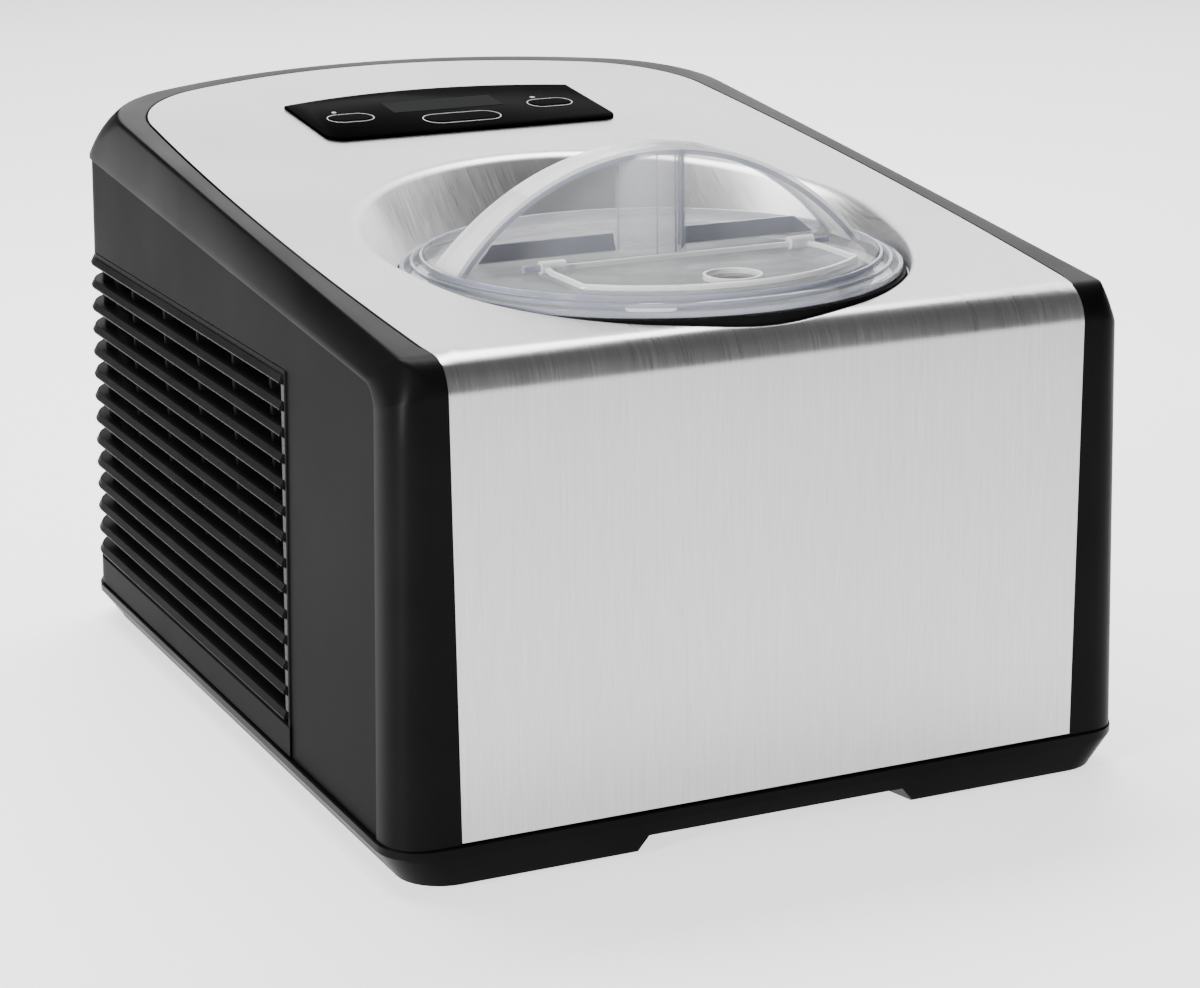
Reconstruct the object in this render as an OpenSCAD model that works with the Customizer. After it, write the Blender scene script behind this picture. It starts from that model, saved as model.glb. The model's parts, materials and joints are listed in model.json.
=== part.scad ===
// Countertop ice cream maker with a built-in compressor.
// Millimetres, +Z up, front towards -Y. The origin is under the middle of the machine, on the
// surface that the feet stand on.

/* [Overall] */
// Width across the base tray
body_w = 312; // [300:2:380]
// Depth of the base tray, front to back
body_d = 420; // [410:2:510]
// Height of the top panel at the front bend
front_h = 196; // [192:1:240]
// Slope of the top panel, in degrees
top_slope = 6.8; // [6:0.1:8]
// Height of the seam between base tray and housing
base_h = 17.5; // [15:0.5:21]

/* [Shells] */
// Wall of the plastic housing and rear cover
shell_t = 2.8; // [2.4:0.1:3.4]
// Thickness of the steel cover
sheet_t = 1; // [0.8:0.1:1.2]
// Half width of the steel cover at its widest
steel_hw = 136; // [113:1:138]
// Gap between the steel cover and the housing round it
steel_gap = 0.8; // [0.4:0.1:1.2]
// Width of the plastic rim beside the steel cover
rim_w = 8.5; // [7:0.5:10]
// Outer radius of the bend between the top and the front
bend_r = 14; // [10:1:17]
// Radius of the housing's upright front corners
front_r = 18; // [15:1:21]
// Radius of the housing's upright rear corners
rear_r = 28; // [23:1:36]
// Radius of the housing's bowed back
back_r = 420; // [360:10:520]
// How far each side wall leans in on its way up
side_lean = 4; // [0:0.5:5]
// Share by which the body narrows towards the back
side_taper = 0.035; // [0:0.005:0.05]
// How far the base tray stands out past the housing
base_lip = 1; // [0.5:0.1:1.5]
// How far the base tray's sides tuck in at the bottom
base_tuck = 8; // [6:0.5:9.5]
// How far the louvre fins stand out of the rear cover's wall
fin_out = 1; // [0.5:0.1:1.5]

/* [Louvres] */
// Number of louvre fins
fin_count = 14; // [10:1:16]
// Thickness of a louvre fin
fin_t = 2.6; // [2:0.1:3.2]
// Height of the lowest louvre fin
fin_low_z = 33; // [30:1:38]
// Height of the highest louvre fin
fin_top_z = 166; // [160:1:172]
// Distance from the front of the base tray to the rear cover's seam
seam_from_front = 114; // [100:1:130]

/* [Bowl and drive] */
// Outer radius of the mixing bowl
bowl_r = 88.5; // [73:0.5:90]
// Depth of the mixing bowl below its rim, outside
bowl_h = 112; // [92:1:114]
// Wall of the mixing bowl
bowl_t = 1.5; // [1:0.1:2]
// Gap between mixing bowl and freezing cup
bowl_gap = 0.5; // [0.3:0.1:0.8]
// Radius of the drive shaft
shaft_r = 6; // [5:0.1:7.4]
// Running clearance of the shaft in its bushes
run_fit = 0.05; // [0.02:0.01:0.1]
// Gear module
gear_module = 2; // [1.5:0.1:2.2]
// Teeth on the output gear
output_teeth = 40; // [34:1:42]
// Teeth on the motor pinion
pinion_teeth = 12; // [11:1:14]

/* [Lid] */
// Height of the lid's arched handle above its flange
arch_h = 48; // [40:1:56]
// Width of the band along the top of the arch
arch_band = 16; // [12:1:20]
// Wall of the clear lid
lid_t = 2.4; // [2:0.1:3]
// Clearance between the ingredient flap and the lid
flap_gap = 0.5; // [0.4:0.1:0.8]

/* [Controls] */
// Half width of the control panel
panel_hw = 68; // [60:1:72]
// Distance from the back of the base tray to the panel's front edge
panel_from_back = 143; // [136:1:150]
// Travel of the buttons
button_travel = 1; // [0.5:0.1:1.5]
// Clearance round a button
button_gap = 0.35; // [0.3:0.05:0.5]

/* [Hidden] */
$fn = 96;

black_plastic = [0.09, 0.09, 0.1];
gloss_black = [0.03, 0.03, 0.035];
steel = [0.75, 0.75, 0.76];
copper = [0.72, 0.42, 0.25];
clear = [0.85, 0.88, 0.95, 0.35];

// Plan of the body
y_front = -body_d / 2;
y_back = body_d / 2;
half_w = body_w / 2;
seam_y = y_front + seam_from_front;
seam_gap = 0.4;

// The top panel's plane
top_y0 = y_front + 12;
function top_z(y) = front_h + (y - top_y0) * tan(top_slope);

// Corners and bow of the steel cover and the rim round it
sheet_corner_r = 0.6;
steel_rear_r = 56;
top_back_r = 262;
steel_bow = 0.06;
rim_bow = 0.012;
widest_y = -40;
bow_reach = 210;

// How much an outline narrows at y: a taper to the back and a bow about the widest place
function narrowed(y, taper, bow) =
    1 - taper * max(y - y_front, 0) / body_d - bow * pow((y - widest_y) / bow_reach, 2);

// The crease where the upright side turns into the chamfer
crease_front_h = front_h - 12;
crease_slope = 4.5;
crease_z0 = crease_front_h - y_front * tan(crease_slope);
shelf_t = 2.6;
ledge_w = 6;
window_hw = steel_hw * narrowed(y_front, 0, steel_bow) - ledge_w;
rail_h = 2;
rail_top_z = fin_top_z + fin_t + rail_h;
rim_back = 15;
rim_front_hw = steel_hw + rim_w;

// The well, the bowl and the lid share one upright axis
evap_tube_r = 4;
foam_t = 4.5;
cup_t = 1.6;
cup_r = bowl_r + bowl_gap;
coil_r = cup_r + cup_t + evap_tube_r + 0.2;
foam_inner_r = coil_r + evap_tube_r + 0.4;
foam_outer_r = foam_inner_r + foam_t;
foam_to_front = 4;
well_y = y_front + foam_to_front + foam_outer_r;
lid_r = bowl_r + 9.3;
seal_r = lid_r + 1.4;
well_r = lid_r + 2.4;
well_top_r = lid_r + 7.7;
well_shift = 24;
ledge_z = front_h - 0.5;
seal_top_z = front_h + 1.7;
lid_z = seal_top_z + 0.3;
rim_z = lid_z - 3;
bowl_low_z = rim_z - bowl_h;
bowl_flange_r = bowl_r + 5.3;
bowl_flange_t = 1.6;
cup_flange_r = bowl_r + 8;
cup_flange_z = rim_z - bowl_flange_t - 0.2;
cup_floor_z = bowl_low_z - bowl_gap;
bowl_inner_r = bowl_r - bowl_t;

// Shaft, its tube through the cup, and the bowl's chimney
bush_t = 1;
tube_r = shaft_r + bush_t + 1.2;
chimney_r = tube_r + 0.6;
chimney_t = 1.4;
chimney_h = 30;
chimney_top_z = bowl_low_z + chimney_h;
tube_top_z = chimney_top_z - 4;
shaft_top_z = chimney_top_z + 22;
hex_gap = 0.25;

// Gearbox under the cup
floor_t = 2.6;
tray_low_z = 2;
tray_floor_z = tray_low_z + floor_t;
case_low_z = tray_floor_z + 9;
case_t = 2.4;
gear_z = case_low_z + case_t + 2;
gear_h = 9;
case_top_z = gear_z + gear_h + 2.5;
case_h = case_top_z - case_low_z;
cover_t = 3;
output_r = gear_module * output_teeth / 2;
pinion_r = gear_module * pinion_teeth / 2;
mesh_gap = 0.25;
motor_x = output_r + pinion_r + mesh_gap;
motor_r = 24;
motor_h = min(34, cup_floor_z - cup_t - foam_t - case_top_z - cover_t - 3);
motor_shaft_r = 3;

// Refrigeration parts behind the well
comp_r = 56;
comp_h = 132;
comp_x = half_w - comp_r - 36;
comp_y = y_back - comp_r - 36;
comp_low_z = tray_floor_z + 16;
cond_x = -half_w + 23;
cond_w = 26;
cond_y0 = well_y + foam_outer_r + 14;
cond_len = 120;
cond_z0 = tray_floor_z + 14;
cond_h = 126;
fan_y = cond_y0 + cond_len / 2;
fan_z = cond_z0 + cond_h / 2;
fan_r = 50;
fan_x = cond_x + cond_w + 20;
pipe_r = 3;
suction_r = 2.5;
capillary_r = 1.5;

// Control panel
panel_y0 = y_back - panel_from_back;
panel_len = 58;
panel_arc = 11;
panel_proud = 1.6;
panel_deep = 2.4;
button_x = 47.5;
small_button = [20, 12];
timer_button_size = [35, 14];
small_button_y = panel_y0 + 30;
timer_button_y = panel_y0 + 18;
display_y = panel_y0 + 41;
display_size = [52, 17];
board_drop = 13;

// Outline helpers -----------------------------------------------------------------------------

function arc(c, r, a0, a1, n) =
    [for (i = [0:n]) c + r * [cos(a0 + (a1 - a0) * i / n), sin(a0 + (a1 - a0) * i / n)]];

function mirrored(p) = [for (i = [len(p) - 2:-1:0]) [-p[i].x, p[i].y]];

// Right half of a body outline: front corner, side, rear corner, bowed back.
// sides = [half width, taper, bow, points along the side]; ends = [front y, back y];
// radii = [front corner, rear corner, back]
function plan_half(sides, ends, radii) =
    let (hw = sides[0],
         rf = radii[0],
         rr = radii[1],
         rb = radii[2],
         turn = acos((hw - rr) / (rb - rr)),
         back_y = ends[1] - rb,
         corner_y = back_y + (rb - rr) * sin(turn),
         side_y = ends[0] + rf,
         side_step = (corner_y - side_y) / (sides[3] + 1),
         side = [for (i = [1:1:sides[3]]) [hw, side_y + side_step * i]],
         p = concat(arc([hw - rf, side_y], rf, -90, 0, 8), side,
                    arc([hw - rr, corner_y], rr, 0, turn, 10),
                    arc([0, back_y], rb, turn, 90, 8)))
    [for (q = p) [q.x * narrowed(q.y, sides[1], sides[2]), q.y]];

function plan(sides, ends, radii) =
    let (h = plan_half(sides, ends, radii)) concat(h, mirrored(h));

// Housing outline, drawn in by an inset; the sides alone also lean in
function body_plan(inset, lean = 0) =
    plan([half_w - base_lip - inset - lean, side_taper, 0, 0],
         [y_front + base_lip + inset, y_back - base_lip - inset],
         [front_r - inset, rear_r - inset, back_r - inset]);

// How far the side walls have leaned in at height z
function lean_at(z) = side_lean * (z - base_h) / (crease_front_h - base_h);

// Outline of the base tray, with its sides tucked in
function tray_plan(tuck, front_tuck) =
    plan([half_w - tuck, side_taper, 0, 0], [y_front + front_tuck, y_back - tuck],
         [front_r, rear_r, back_r]);

// Outline of the steel cover, drawn in by an inset
function steel_plan(inset) =
    plan([steel_hw - inset, 0, steel_bow, 8], [y_front + inset, y_back - rim_back - rim_w - inset],
         [sheet_corner_r, steel_rear_r - inset, top_back_r - inset]);

// Outline of the plastic rim at the top
function rim_plan(inset) =
    plan([rim_front_hw - inset, 0, rim_bow, 8], [y_front + base_lip + inset, y_back - rim_back - inset],
         [front_r - inset, steel_rear_r + 2 - inset, top_back_r - inset]);

// Side profile of the top and the front with the bend between them, drawn in by an inset
function side_profile(inset) =
    let (bend_y = y_front + base_lip + bend_r,
         bend_z = top_z(bend_y) - bend_r / cos(top_slope),
         end_y = y_back + 40,
         drop = inset / cos(top_slope))
    concat([[y_front + base_lip + inset, -40]],
           arc([bend_y, bend_z], bend_r - inset, 180, 90 + top_slope, 10),
           [[end_y, top_z(end_y) - drop], [end_y, -40]]);

module side_prism(inset, w)
    rotate([90, 0, 90]) linear_extrude(w, center = true) polygon(side_profile(inset));

module sloped_slab(points, z0, slope, t)
    multmatrix([[1, 0, 0, 0], [0, 1, 0, 0], [0, tan(slope), 1, z0], [0, 0, 0, 1]])
        linear_extrude(t) polygon(points);

// Places its children on the sloped top panel
module on_top(y, x = 0) translate([x, y, top_z(y)]) rotate([top_slope, 0, 0]) children();

module slab(points, z, t) translate([0, 0, z]) linear_extrude(t) polygon(points);

module ring(r_out, r_in, z, h) translate([0, 0, z]) difference() {
    cylinder(r = r_out, h = h);
    translate([0, 0, -1]) cylinder(r = r_in, h = h + 2);
}

module oval(size, h) {
    r = size.y / 2;
    translate([r - size.x / 2, 0, 0]) cylinder(r = r, h = h);
    translate([size.x / 2 - r, 0, 0]) cylinder(r = r, h = h);
    translate([r - size.x / 2, -r, 0]) cube([size.x - 2 * r, size.y, h]);
}

// A round pipe through a list of points
module pipe(points, r) {
    for (i = [1:len(points) - 1]) {
        a = points[i - 1];
        b = points[i];
        d = b - a;
        length = norm(d);
        translate(a) rotate([0, acos(d.z / length), atan2(d.y, d.x)])
            cylinder(r = r, h = length, $fn = 24);
    }
    for (i = [1:len(points) - 2]) translate(points[i]) sphere(r = r * 1.15, $fn = 24);
}

module screw(length, r = 1.8, head_r = 3.6, head_h = 2.4) {
    translate([0, 0, head_h - 0.01]) cylinder(r = r, h = length, $fn = 24);
    difference() {
        cylinder(r = head_r, h = head_h, $fn = 32);
        for (a = [0, 90]) rotate(a) translate([-2.2, -0.4, -0.1]) cube([4.4, 0.8, 1.3]);
    }
}

// Shells --------------------------------------------------------------------------------------

foot_r = 11;
foot_sink = 1.5;
tray_edge_h = 4;
tray_wall = 2.5;
tray_front_tuck = 1.5;
screw_sink_r = 4;
air_slot_w = 6;
air_slot_pitch = 18;
foot_inset = [36, 40];
foot_x = half_w - foot_inset.x;
foot_y = body_d / 2 - foot_inset.y;
foot_spots = [for (x = [-1, 1], y = [-1, 1]) [x * foot_x, y * foot_y]];
boss_r = 5;
boss_hole_r = 2.1;
post_hole_r = 1.8;
boss_inset = [16, 26];
boss_ys = [y_front + boss_inset.y, seam_y - 14, seam_y + 22, y_back - 58];
boss_spots = [for (s = [-1, 1], y = boss_ys)
    [s * (half_w * narrowed(y, side_taper, 0) - boss_inset.x), y]];
notch_hw = 54;
notch_h = 6;
notch_run = 5;

module base_tray() color(black_plastic) difference() {
    union() {
        difference() {
            hull() {
                slab(tray_plan(0, 0), base_h - tray_edge_h, tray_edge_h);
                slab(tray_plan(base_tuck, tray_front_tuck), tray_low_z, 0.5);
            }
            slab(body_plan(base_tuck + tray_wall), tray_floor_z, base_h);
            // Wide shallow notch in the middle of the front's lower edge
            translate([0, y_front - 1, 0]) rotate([-90, 0, 0]) linear_extrude(9)
                polygon([[-notch_hw - notch_run, 0.1], [-notch_hw, -tray_low_z - notch_h],
                         [notch_hw, -tray_low_z - notch_h], [notch_hw + notch_run, 0.1]]);
        }
        for (p = boss_spots)
            translate([p.x, p.y, tray_floor_z - 0.5]) cylinder(r = boss_r, h = base_h - tray_floor_z);
    }
    for (p = boss_spots) translate([p.x, p.y, -1]) cylinder(r = boss_hole_r, h = 40);
    for (p = boss_spots)
        translate([p.x, p.y, -1]) cylinder(r = screw_sink_r, h = tray_low_z + 4.6);
    for (p = foot_spots)
        translate([p.x, p.y, -1]) cylinder(r = foot_r + 0.1, h = tray_low_z + foot_sink + 1);
    // Air slots under the condenser
    for (i = [0:5])
        translate([cond_x + 6, cond_y0 + 8 + i * air_slot_pitch, 0]) cube([cond_w + 24, air_slot_w, 20]);
    // Openings round the gearbox screws
    for (p = case_screw_spots) translate([p.x, p.y, -1]) cylinder(r = boss_hole_r, h = 20);
}

module feet() color([0.12, 0.12, 0.12]) for (p = foot_spots) translate([p.x, p.y, 0]) {
    cylinder(r = foot_r, h = tray_low_z + foot_sink - 0.1);
}

// A screw post with a web that ties it to the side wall
module screw_post(p, h) translate([0, 0, base_h + 0.1]) {
    wall_x = (half_w - base_lip) * narrowed(p.y, side_taper, 0) - shell_t - lean_at(base_h + h) + 0.6;
    translate([p.x, p.y, 0]) cylinder(r = boss_r, h = h);
    translate([p.x > 0 ? p.x : -wall_x, p.y - 1, 0]) cube([wall_x - abs(p.x), 2, h]);
}

module housing() color(black_plastic) union() {
    difference() {
        intersection() {
            hull() {
                slab(body_plan(0), base_h + 0.1, 1);
                sloped_slab(body_plan(0, side_lean), crease_z0, crease_slope, 0.5);
                sloped_slab(rim_plan(0), top_z(0) - 0.5, top_slope, 0.5);
            }
            side_prism(0, body_w + 20);
        }
        // Inside, up to the underside of the rim's shelf
        intersection() {
            hull() {
                slab(body_plan(shell_t), base_h - 2, 1);
                sloped_slab(body_plan(shell_t, side_lean), crease_z0 - 1, crease_slope, 0.5);
                sloped_slab(rim_plan(shell_t), top_z(0) - sheet_t - shelf_t, top_slope, 0.5);
            }
            side_prism(sheet_t + shelf_t - 0.6, body_w + 20);
        }
        // Recess that takes the steel cover, over a narrow ledge
        difference() {
            slab(steel_plan(-steel_gap), base_h - 2, body_w);
            side_prism(sheet_t + 0.35, body_w + 20);
        }
        slab(steel_plan(ledge_w), base_h - 2, body_w);
        translate([-window_hw, y_front - 5, base_h - 2])
            cube([2 * window_hw, 40, front_h - base_h - 12]);
        // The rear cover's place
        translate([-body_w, seam_y, 0]) cube([2 * body_w, body_d, rail_top_z + seam_gap]);
    }
    // Screw posts that meet the base tray's bosses in the front half
    for (p = boss_spots) if (p.y < seam_y) difference() {
        screw_post(p, 34);
        translate([p.x, p.y, base_h - 1]) cylinder(r = post_hole_r, h = 22);
    }
}

// One horizontal U-shaped strip of the rear cover
module u_strip(out_inset, in_inset, z, h) translate([0, 0, z]) linear_extrude(h) difference() {
    polygon(body_plan(out_inset, lean_at(z)));
    polygon(body_plan(in_inset, lean_at(z)));
    translate([-body_w, -body_d]) square([2 * body_w, body_d + seam_y + seam_gap]);
}

fin_pitch = (fin_top_z - fin_low_z) / (fin_count - 1);
fin_deep = 7;
rib_ys = [for (i = [0:4]) seam_y + 8 + i * 50];
rib_xs = [-96, -64, -32, 32, 64, 96];
rib_size = [3.2, 3];
back_rib_y = y_back - base_lip - fin_deep - 3.6;
end_post_l = 9;
gland_z = 25;
gland_hole_r = 5.2;

// Half width of the rear cover's wall at y and z
function wall_at(y, z) = (half_w - base_lip - lean_at(z)) * narrowed(y, side_taper, 0);

end_post_w = 5;
end_post_x = wall_at(seam_y, rail_top_z) - end_post_w;
fin_mid_z = (fin_low_z + fin_top_z) / 2;

module rear_cover() color(black_plastic) difference() {
    union() {
        // Plain band below the louvres, and the rail above them
        u_strip(0, shell_t, base_h + 0.1, fin_low_z - base_h);
        u_strip(0, shell_t, fin_top_z + fin_t - 1, rail_h + 1);
        for (i = [0:fin_count - 1]) u_strip(-fin_out, fin_deep, fin_low_z + i * fin_pitch, fin_t);
        for (s = [-1, 1], y = rib_ys)
            translate([s * (wall_at(y, fin_mid_z) - fin_deep + 2.2) - rib_size.x / 2, y, fin_low_z - 8])
                cube([rib_size.x, rib_size.y, fin_top_z - fin_low_z + 12]);
        for (x = rib_xs)
            translate([x - rib_size.y / 2, back_rib_y - x * x / (2 * back_r), fin_low_z - 8])
                cube([rib_size.y, 4, fin_top_z - fin_low_z + 12]);
        // Solid ends of the louvre rows
        for (x = [end_post_x, -end_post_x - end_post_w])
            translate([x, seam_y + seam_gap, base_h + 0.1])
                cube([end_post_w, end_post_l, rail_top_z - base_h - 0.1]);
        for (p = boss_spots) if (p.y > seam_y) screw_post(p, 14);
    }
    for (p = boss_spots) if (p.y > seam_y)
        translate([p.x, p.y, base_h - 1]) cylinder(r = post_hole_r, h = 13);
    // Hole for the cord gland, in the plain band
    translate([0, y_back - 70, gland_z]) rotate([-90, 0, 0]) cylinder(r = gland_hole_r, h = 90);
}

// Room for the well: wide and shallow at the top, round and level at the bottom
module well_void(grow) hull() {
    translate([0, well_y, ledge_z - sheet_t]) cylinder(r = well_r + grow, h = 0.5, $fn = 64);
    on_top(well_y + well_shift) cylinder(r = well_top_r + grow, h = 30, $fn = 64);
}

module panel_outline(grow) {
    y0 = -grow;
    y1 = panel_len;
    sag = panel_arc;
    arc_r = (pow(panel_hw, 2) + pow(sag, 2)) / (2 * sag);
    half_turn = asin(panel_hw / arc_r);
    polygon(concat(arc([panel_hw - 8, 8], 8 + grow, -90, 0, 8),
                   [for (a = [half_turn:-half_turn / 6:-half_turn])
                       [0, y1 + sag - arc_r] + (arc_r + grow) * [sin(a), cos(a)]],
                   arc([8 - panel_hw, 8], 8 + grow, 180, 270, 8)));
}

module steel_cover() color(steel) difference() {
    union() {
        difference() {
            intersection() {
                side_prism(0.1, body_w);
                slab(steel_plan(0), base_h + 0.9, body_w);
            }
            side_prism(0.1 + sheet_t, body_w + 10);
        }
        intersection() {
            well_void(sheet_t);
            side_prism(0.1, body_w);
            translate([-half_w, y_front + 2, ledge_z - sheet_t]) cube([body_w, body_d, 100]);
        }
    }
    difference() {
        well_void(0);
        translate([-body_w, -body_d, -1]) cube([body_w * 2, body_d * 2, 1 + ledge_z]);
    }
    translate([0, well_y, 0]) cylinder(r = seal_r + 0.3, h = front_h + 60);
    on_top(panel_y0) translate([0, 0, -10]) linear_extrude(20) panel_outline(0.3);
}

module well_seal() color([0.06, 0.06, 0.06]) translate([0, well_y, 0]) {
    ring(seal_r, bowl_flange_r + 1, cup_flange_z + 0.1, seal_top_z - cup_flange_z - 0.1);
    ring(cup_flange_r + 2.4, cup_flange_r + 0.2, cup_flange_z - cup_t - 1.5, 2);
}

// Freezing chamber ----------------------------------------------------------------------------

module freezing_cup() color([0.72, 0.73, 0.75]) translate([0, well_y, 0]) difference() {
    union() {
        translate([0, 0, cup_floor_z - cup_t])
            cylinder(r = cup_r + cup_t, h = cup_flange_z - cup_floor_z + cup_t);
        translate([0, 0, cup_flange_z - cup_t]) cylinder(r = cup_flange_r, h = cup_t);
    }
    difference() {
        translate([0, 0, cup_floor_z]) cylinder(r = cup_r, h = 200);
        cylinder(r = tube_r, h = tube_top_z);
    }
    cylinder(r = shaft_r + bush_t, h = front_h);
}

coil_turns = 7;
coil_low_z = cup_floor_z + 12;
coil_pitch = (cup_flange_z - 16 - coil_low_z) / (coil_turns - 1);
header_a = 100;
coil_in_z = coil_low_z + coil_pitch / 2;
coil_out_z = coil_low_z + coil_pitch * 5.5;

// A point on the evaporator header's own spoke, at distance r from the bowl's axis
function on_spoke(r, z) = [r * cos(header_a), well_y + r * sin(header_a), z];

module evaporator_coil() color(copper) {
    translate([0, well_y, 0]) for (i = [0:coil_turns - 1])
        translate([0, 0, coil_low_z + i * coil_pitch]) rotate_extrude()
            translate([coil_r, 0]) circle(r = evap_tube_r, $fn = 32);
    translate(on_spoke(coil_r, coil_low_z)) cylinder(r = pipe_r, h = coil_pitch * (coil_turns - 1));
}

module insulation() color([0.93, 0.9, 0.78]) translate([0, well_y, 0]) difference() {
    translate([0, 0, cup_floor_z - cup_t - foam_t])
        cylinder(r = foam_outer_r, h = cup_flange_z - cup_floor_z + foam_t - 9);
    translate([0, 0, cup_floor_z - cup_t - 0.2]) cylinder(r = foam_inner_r, h = 200);
    cylinder(r = tube_r + 2, h = front_h);
    // Ways out for the evaporator's two pipes
    for (z = [coil_in_z, coil_out_z])
        rotate([0, 0, header_a]) translate([coil_r - 2, 0, z]) rotate([0, 90, 0])
            cylinder(r = pipe_r + 0.5, h = 40);
}

// Mixing drive --------------------------------------------------------------------------------

ear_r = 6;
side_ear = [motor_x - ear_r, motor_r + 12];
// Screw places of the gearbox, from the bowl's axis
ear_spots = [[-output_r - ear_r, 0], side_ear, [side_ear.x, -side_ear.y]];
case_screw_spots = [for (p = ear_spots) [p.x, well_y + p.y]];

module case_outline(grow) hull() {
    circle(r = output_r + gear_module + 3 + grow, $fn = 64);
    translate([motor_x, 0]) circle(r = pinion_r + gear_module + 8 + grow, $fn = 48);
}

module screw_ear(h, r = ear_r) for (p = ear_spots) translate([p.x, p.y, 0]) cylinder(r = r, h = h);

module gearbox_case() color([0.2, 0.2, 0.22]) translate([0, well_y, 0]) difference() {
    union() {
        translate([0, 0, case_low_z]) linear_extrude(case_h) case_outline(case_t);
        translate([0, 0, case_low_z]) screw_ear(case_h);
        translate([0, 0, tray_floor_z + 0.1]) screw_ear(case_low_z - tray_floor_z, 5);
        // Arms that tie the screw ears to the case
        translate([-output_r - ear_r, -4, case_low_z]) cube([2 * ear_r, 8, case_h]);
        for (s = [-1, 1]) translate([side_ear.x - 4, s > 0 ? 10 : -side_ear.y, case_low_z])
            cube([8, side_ear.y - 10, case_h]);
    }
    translate([0, 0, case_low_z + case_t]) linear_extrude(60) case_outline(0);
    translate([0, 0, case_low_z - 1]) cylinder(r = shaft_r + run_fit, h = 20);
    screw_ear(80, boss_hole_r);
}

module gearbox_cover() color([0.25, 0.25, 0.27]) translate([0, well_y, case_top_z + 0.1]) difference() {
    union() {
        linear_extrude(cover_t) case_outline(case_t);
        screw_ear(cover_t);
    }
    translate([0, 0, -1]) cylinder(r = shaft_r + run_fit, h = 20);
    translate([motor_x, 0, -1]) cylinder(r = motor_shaft_r + 1, h = 20);
    translate([0, 0, -1]) screw_ear(20, boss_hole_r);
}

module shaft_bush() color([0.85, 0.8, 0.6]) translate([0, well_y, 0])
    ring(shaft_r + bush_t - 0.02, shaft_r + run_fit, cup_floor_z - cup_t,
         tube_top_z - cup_floor_z + cup_t);

motor_z = case_top_z + 0.1 + cover_t + 0.1;

module drive_motor() color([0.5, 0.5, 0.52]) translate([motor_x, well_y, motor_z]) {
    cylinder(r = motor_r, h = motor_h - 3);
    translate([0, 0, motor_h - 3]) cylinder(r = motor_r - 8, h = 3);
    translate([-motor_r * 0.55, -motor_r - 5, 4]) cube([motor_r * 1.1, 8, motor_h - 12]);
}

// Spur gear with straight-sided teeth, thinned for backlash
module spur(teeth, h, turn) {
    pitch_r = gear_module * teeth / 2;
    step = 360 / teeth;
    root_r = pitch_r - gear_module * 1.1;
    tip_r = pitch_r + gear_module * 0.85;
    rotate(turn) linear_extrude(h) polygon([for (i = [0:teeth - 1], k = [-0.32, -0.1, 0.1, 0.32])
        let (r = abs(k) > 0.2 ? root_r : tip_r, a = step * (i + k)) r * [cos(a), sin(a)]]);
}

module motor_pinion() color([0.8, 0.78, 0.7]) translate([motor_x, well_y, 0]) {
    translate([0, 0, gear_z]) spur(pinion_teeth, gear_h, 180 + 180 / pinion_teeth);
    translate([0, 0, gear_z - 1.5]) cylinder(r = motor_shaft_r, h = motor_z - gear_z + 1.4);
}

module output_gear() color([0.9, 0.9, 0.85]) translate([0, well_y, 0]) difference() {
    union() {
        translate([0, 0, gear_z]) spur(output_teeth, gear_h, 0);
        translate([0, 0, gear_z - 1]) cylinder(r = shaft_r + 5, h = gear_h + 2);
    }
    cylinder(r = shaft_r + 0.02, h = front_h);
    for (i = [0:4])
        rotate(i * 72 + 36) translate([output_r * 0.62, 0, 0]) cylinder(r = output_r * 0.17, h = 90);
}

module drive_shaft() color([0.7, 0.7, 0.72]) translate([0, well_y, 0]) {
    translate([0, 0, case_low_z - 0.5]) cylinder(r = shaft_r, h = chimney_top_z - case_low_z);
    translate([0, 0, chimney_top_z - 1])
        cylinder(r = shaft_r, h = shaft_top_z - chimney_top_z + 1, $fn = 6);
}

// Refrigeration -------------------------------------------------------------------------------

dome = 16;
grommet_spots = [for (x = [-1, 1], y = [-1, 1]) [x * comp_r, y * (comp_r - 16)]];

module compressor() color([0.08, 0.08, 0.09]) translate([comp_x, comp_y, comp_low_z]) {
    translate([0, 0, 0]) rotate_extrude() polygon(concat([[0, 0]],
        arc([comp_r - dome, dome], dome, -90, 0, 8),
        arc([comp_r - dome, comp_h - dome], dome, 0, 90, 8), [[0, comp_h]]));
    translate([0, 0, comp_h * 0.5]) cylinder(r = comp_r + 1.5, h = 5);
    difference() {
        translate([-comp_r - 8, -comp_r + 6, -3.5]) cube([2 * comp_r + 16, 2 * comp_r - 12, 3.6]);
        for (p = grommet_spots) translate([p.x, p.y, -10]) cylinder(r = 4.1, h = 20);
    }
}

module compressor_grommets() color([0.1, 0.1, 0.1]) for (p = grommet_spots)
    translate([comp_x + p.x, comp_y + p.y, tray_floor_z]) {
        cylinder(r = 7.5, h = comp_low_z - 3.6 - tray_floor_z);
        cylinder(r = 4, h = comp_low_z + 1 - tray_floor_z);
        translate([0, 0, comp_low_z + 0.2 - tray_floor_z]) cylinder(r = 6, h = 2.4);
    }

module terminal_cover() color([0.15, 0.15, 0.16])
    translate([comp_x - comp_r - 16, comp_y + 6, comp_low_z + 42]) difference() {
        cube([14, 34, 40]);
        translate([2, 2, 2]) cube([13, 30, 36]);
    }

pipe_top_z = comp_low_z + comp_h + 10;
loom_x = -34;
loom_top_x = comp_x - comp_r - 20;
loom_low_z = tray_floor_z + 8;

// Discharge and suction pipes leave the compressor's dome
discharge_spot = [comp_x - 20, comp_y + 18];
suction_spot = [comp_x + 18, comp_y - 13];

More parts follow.
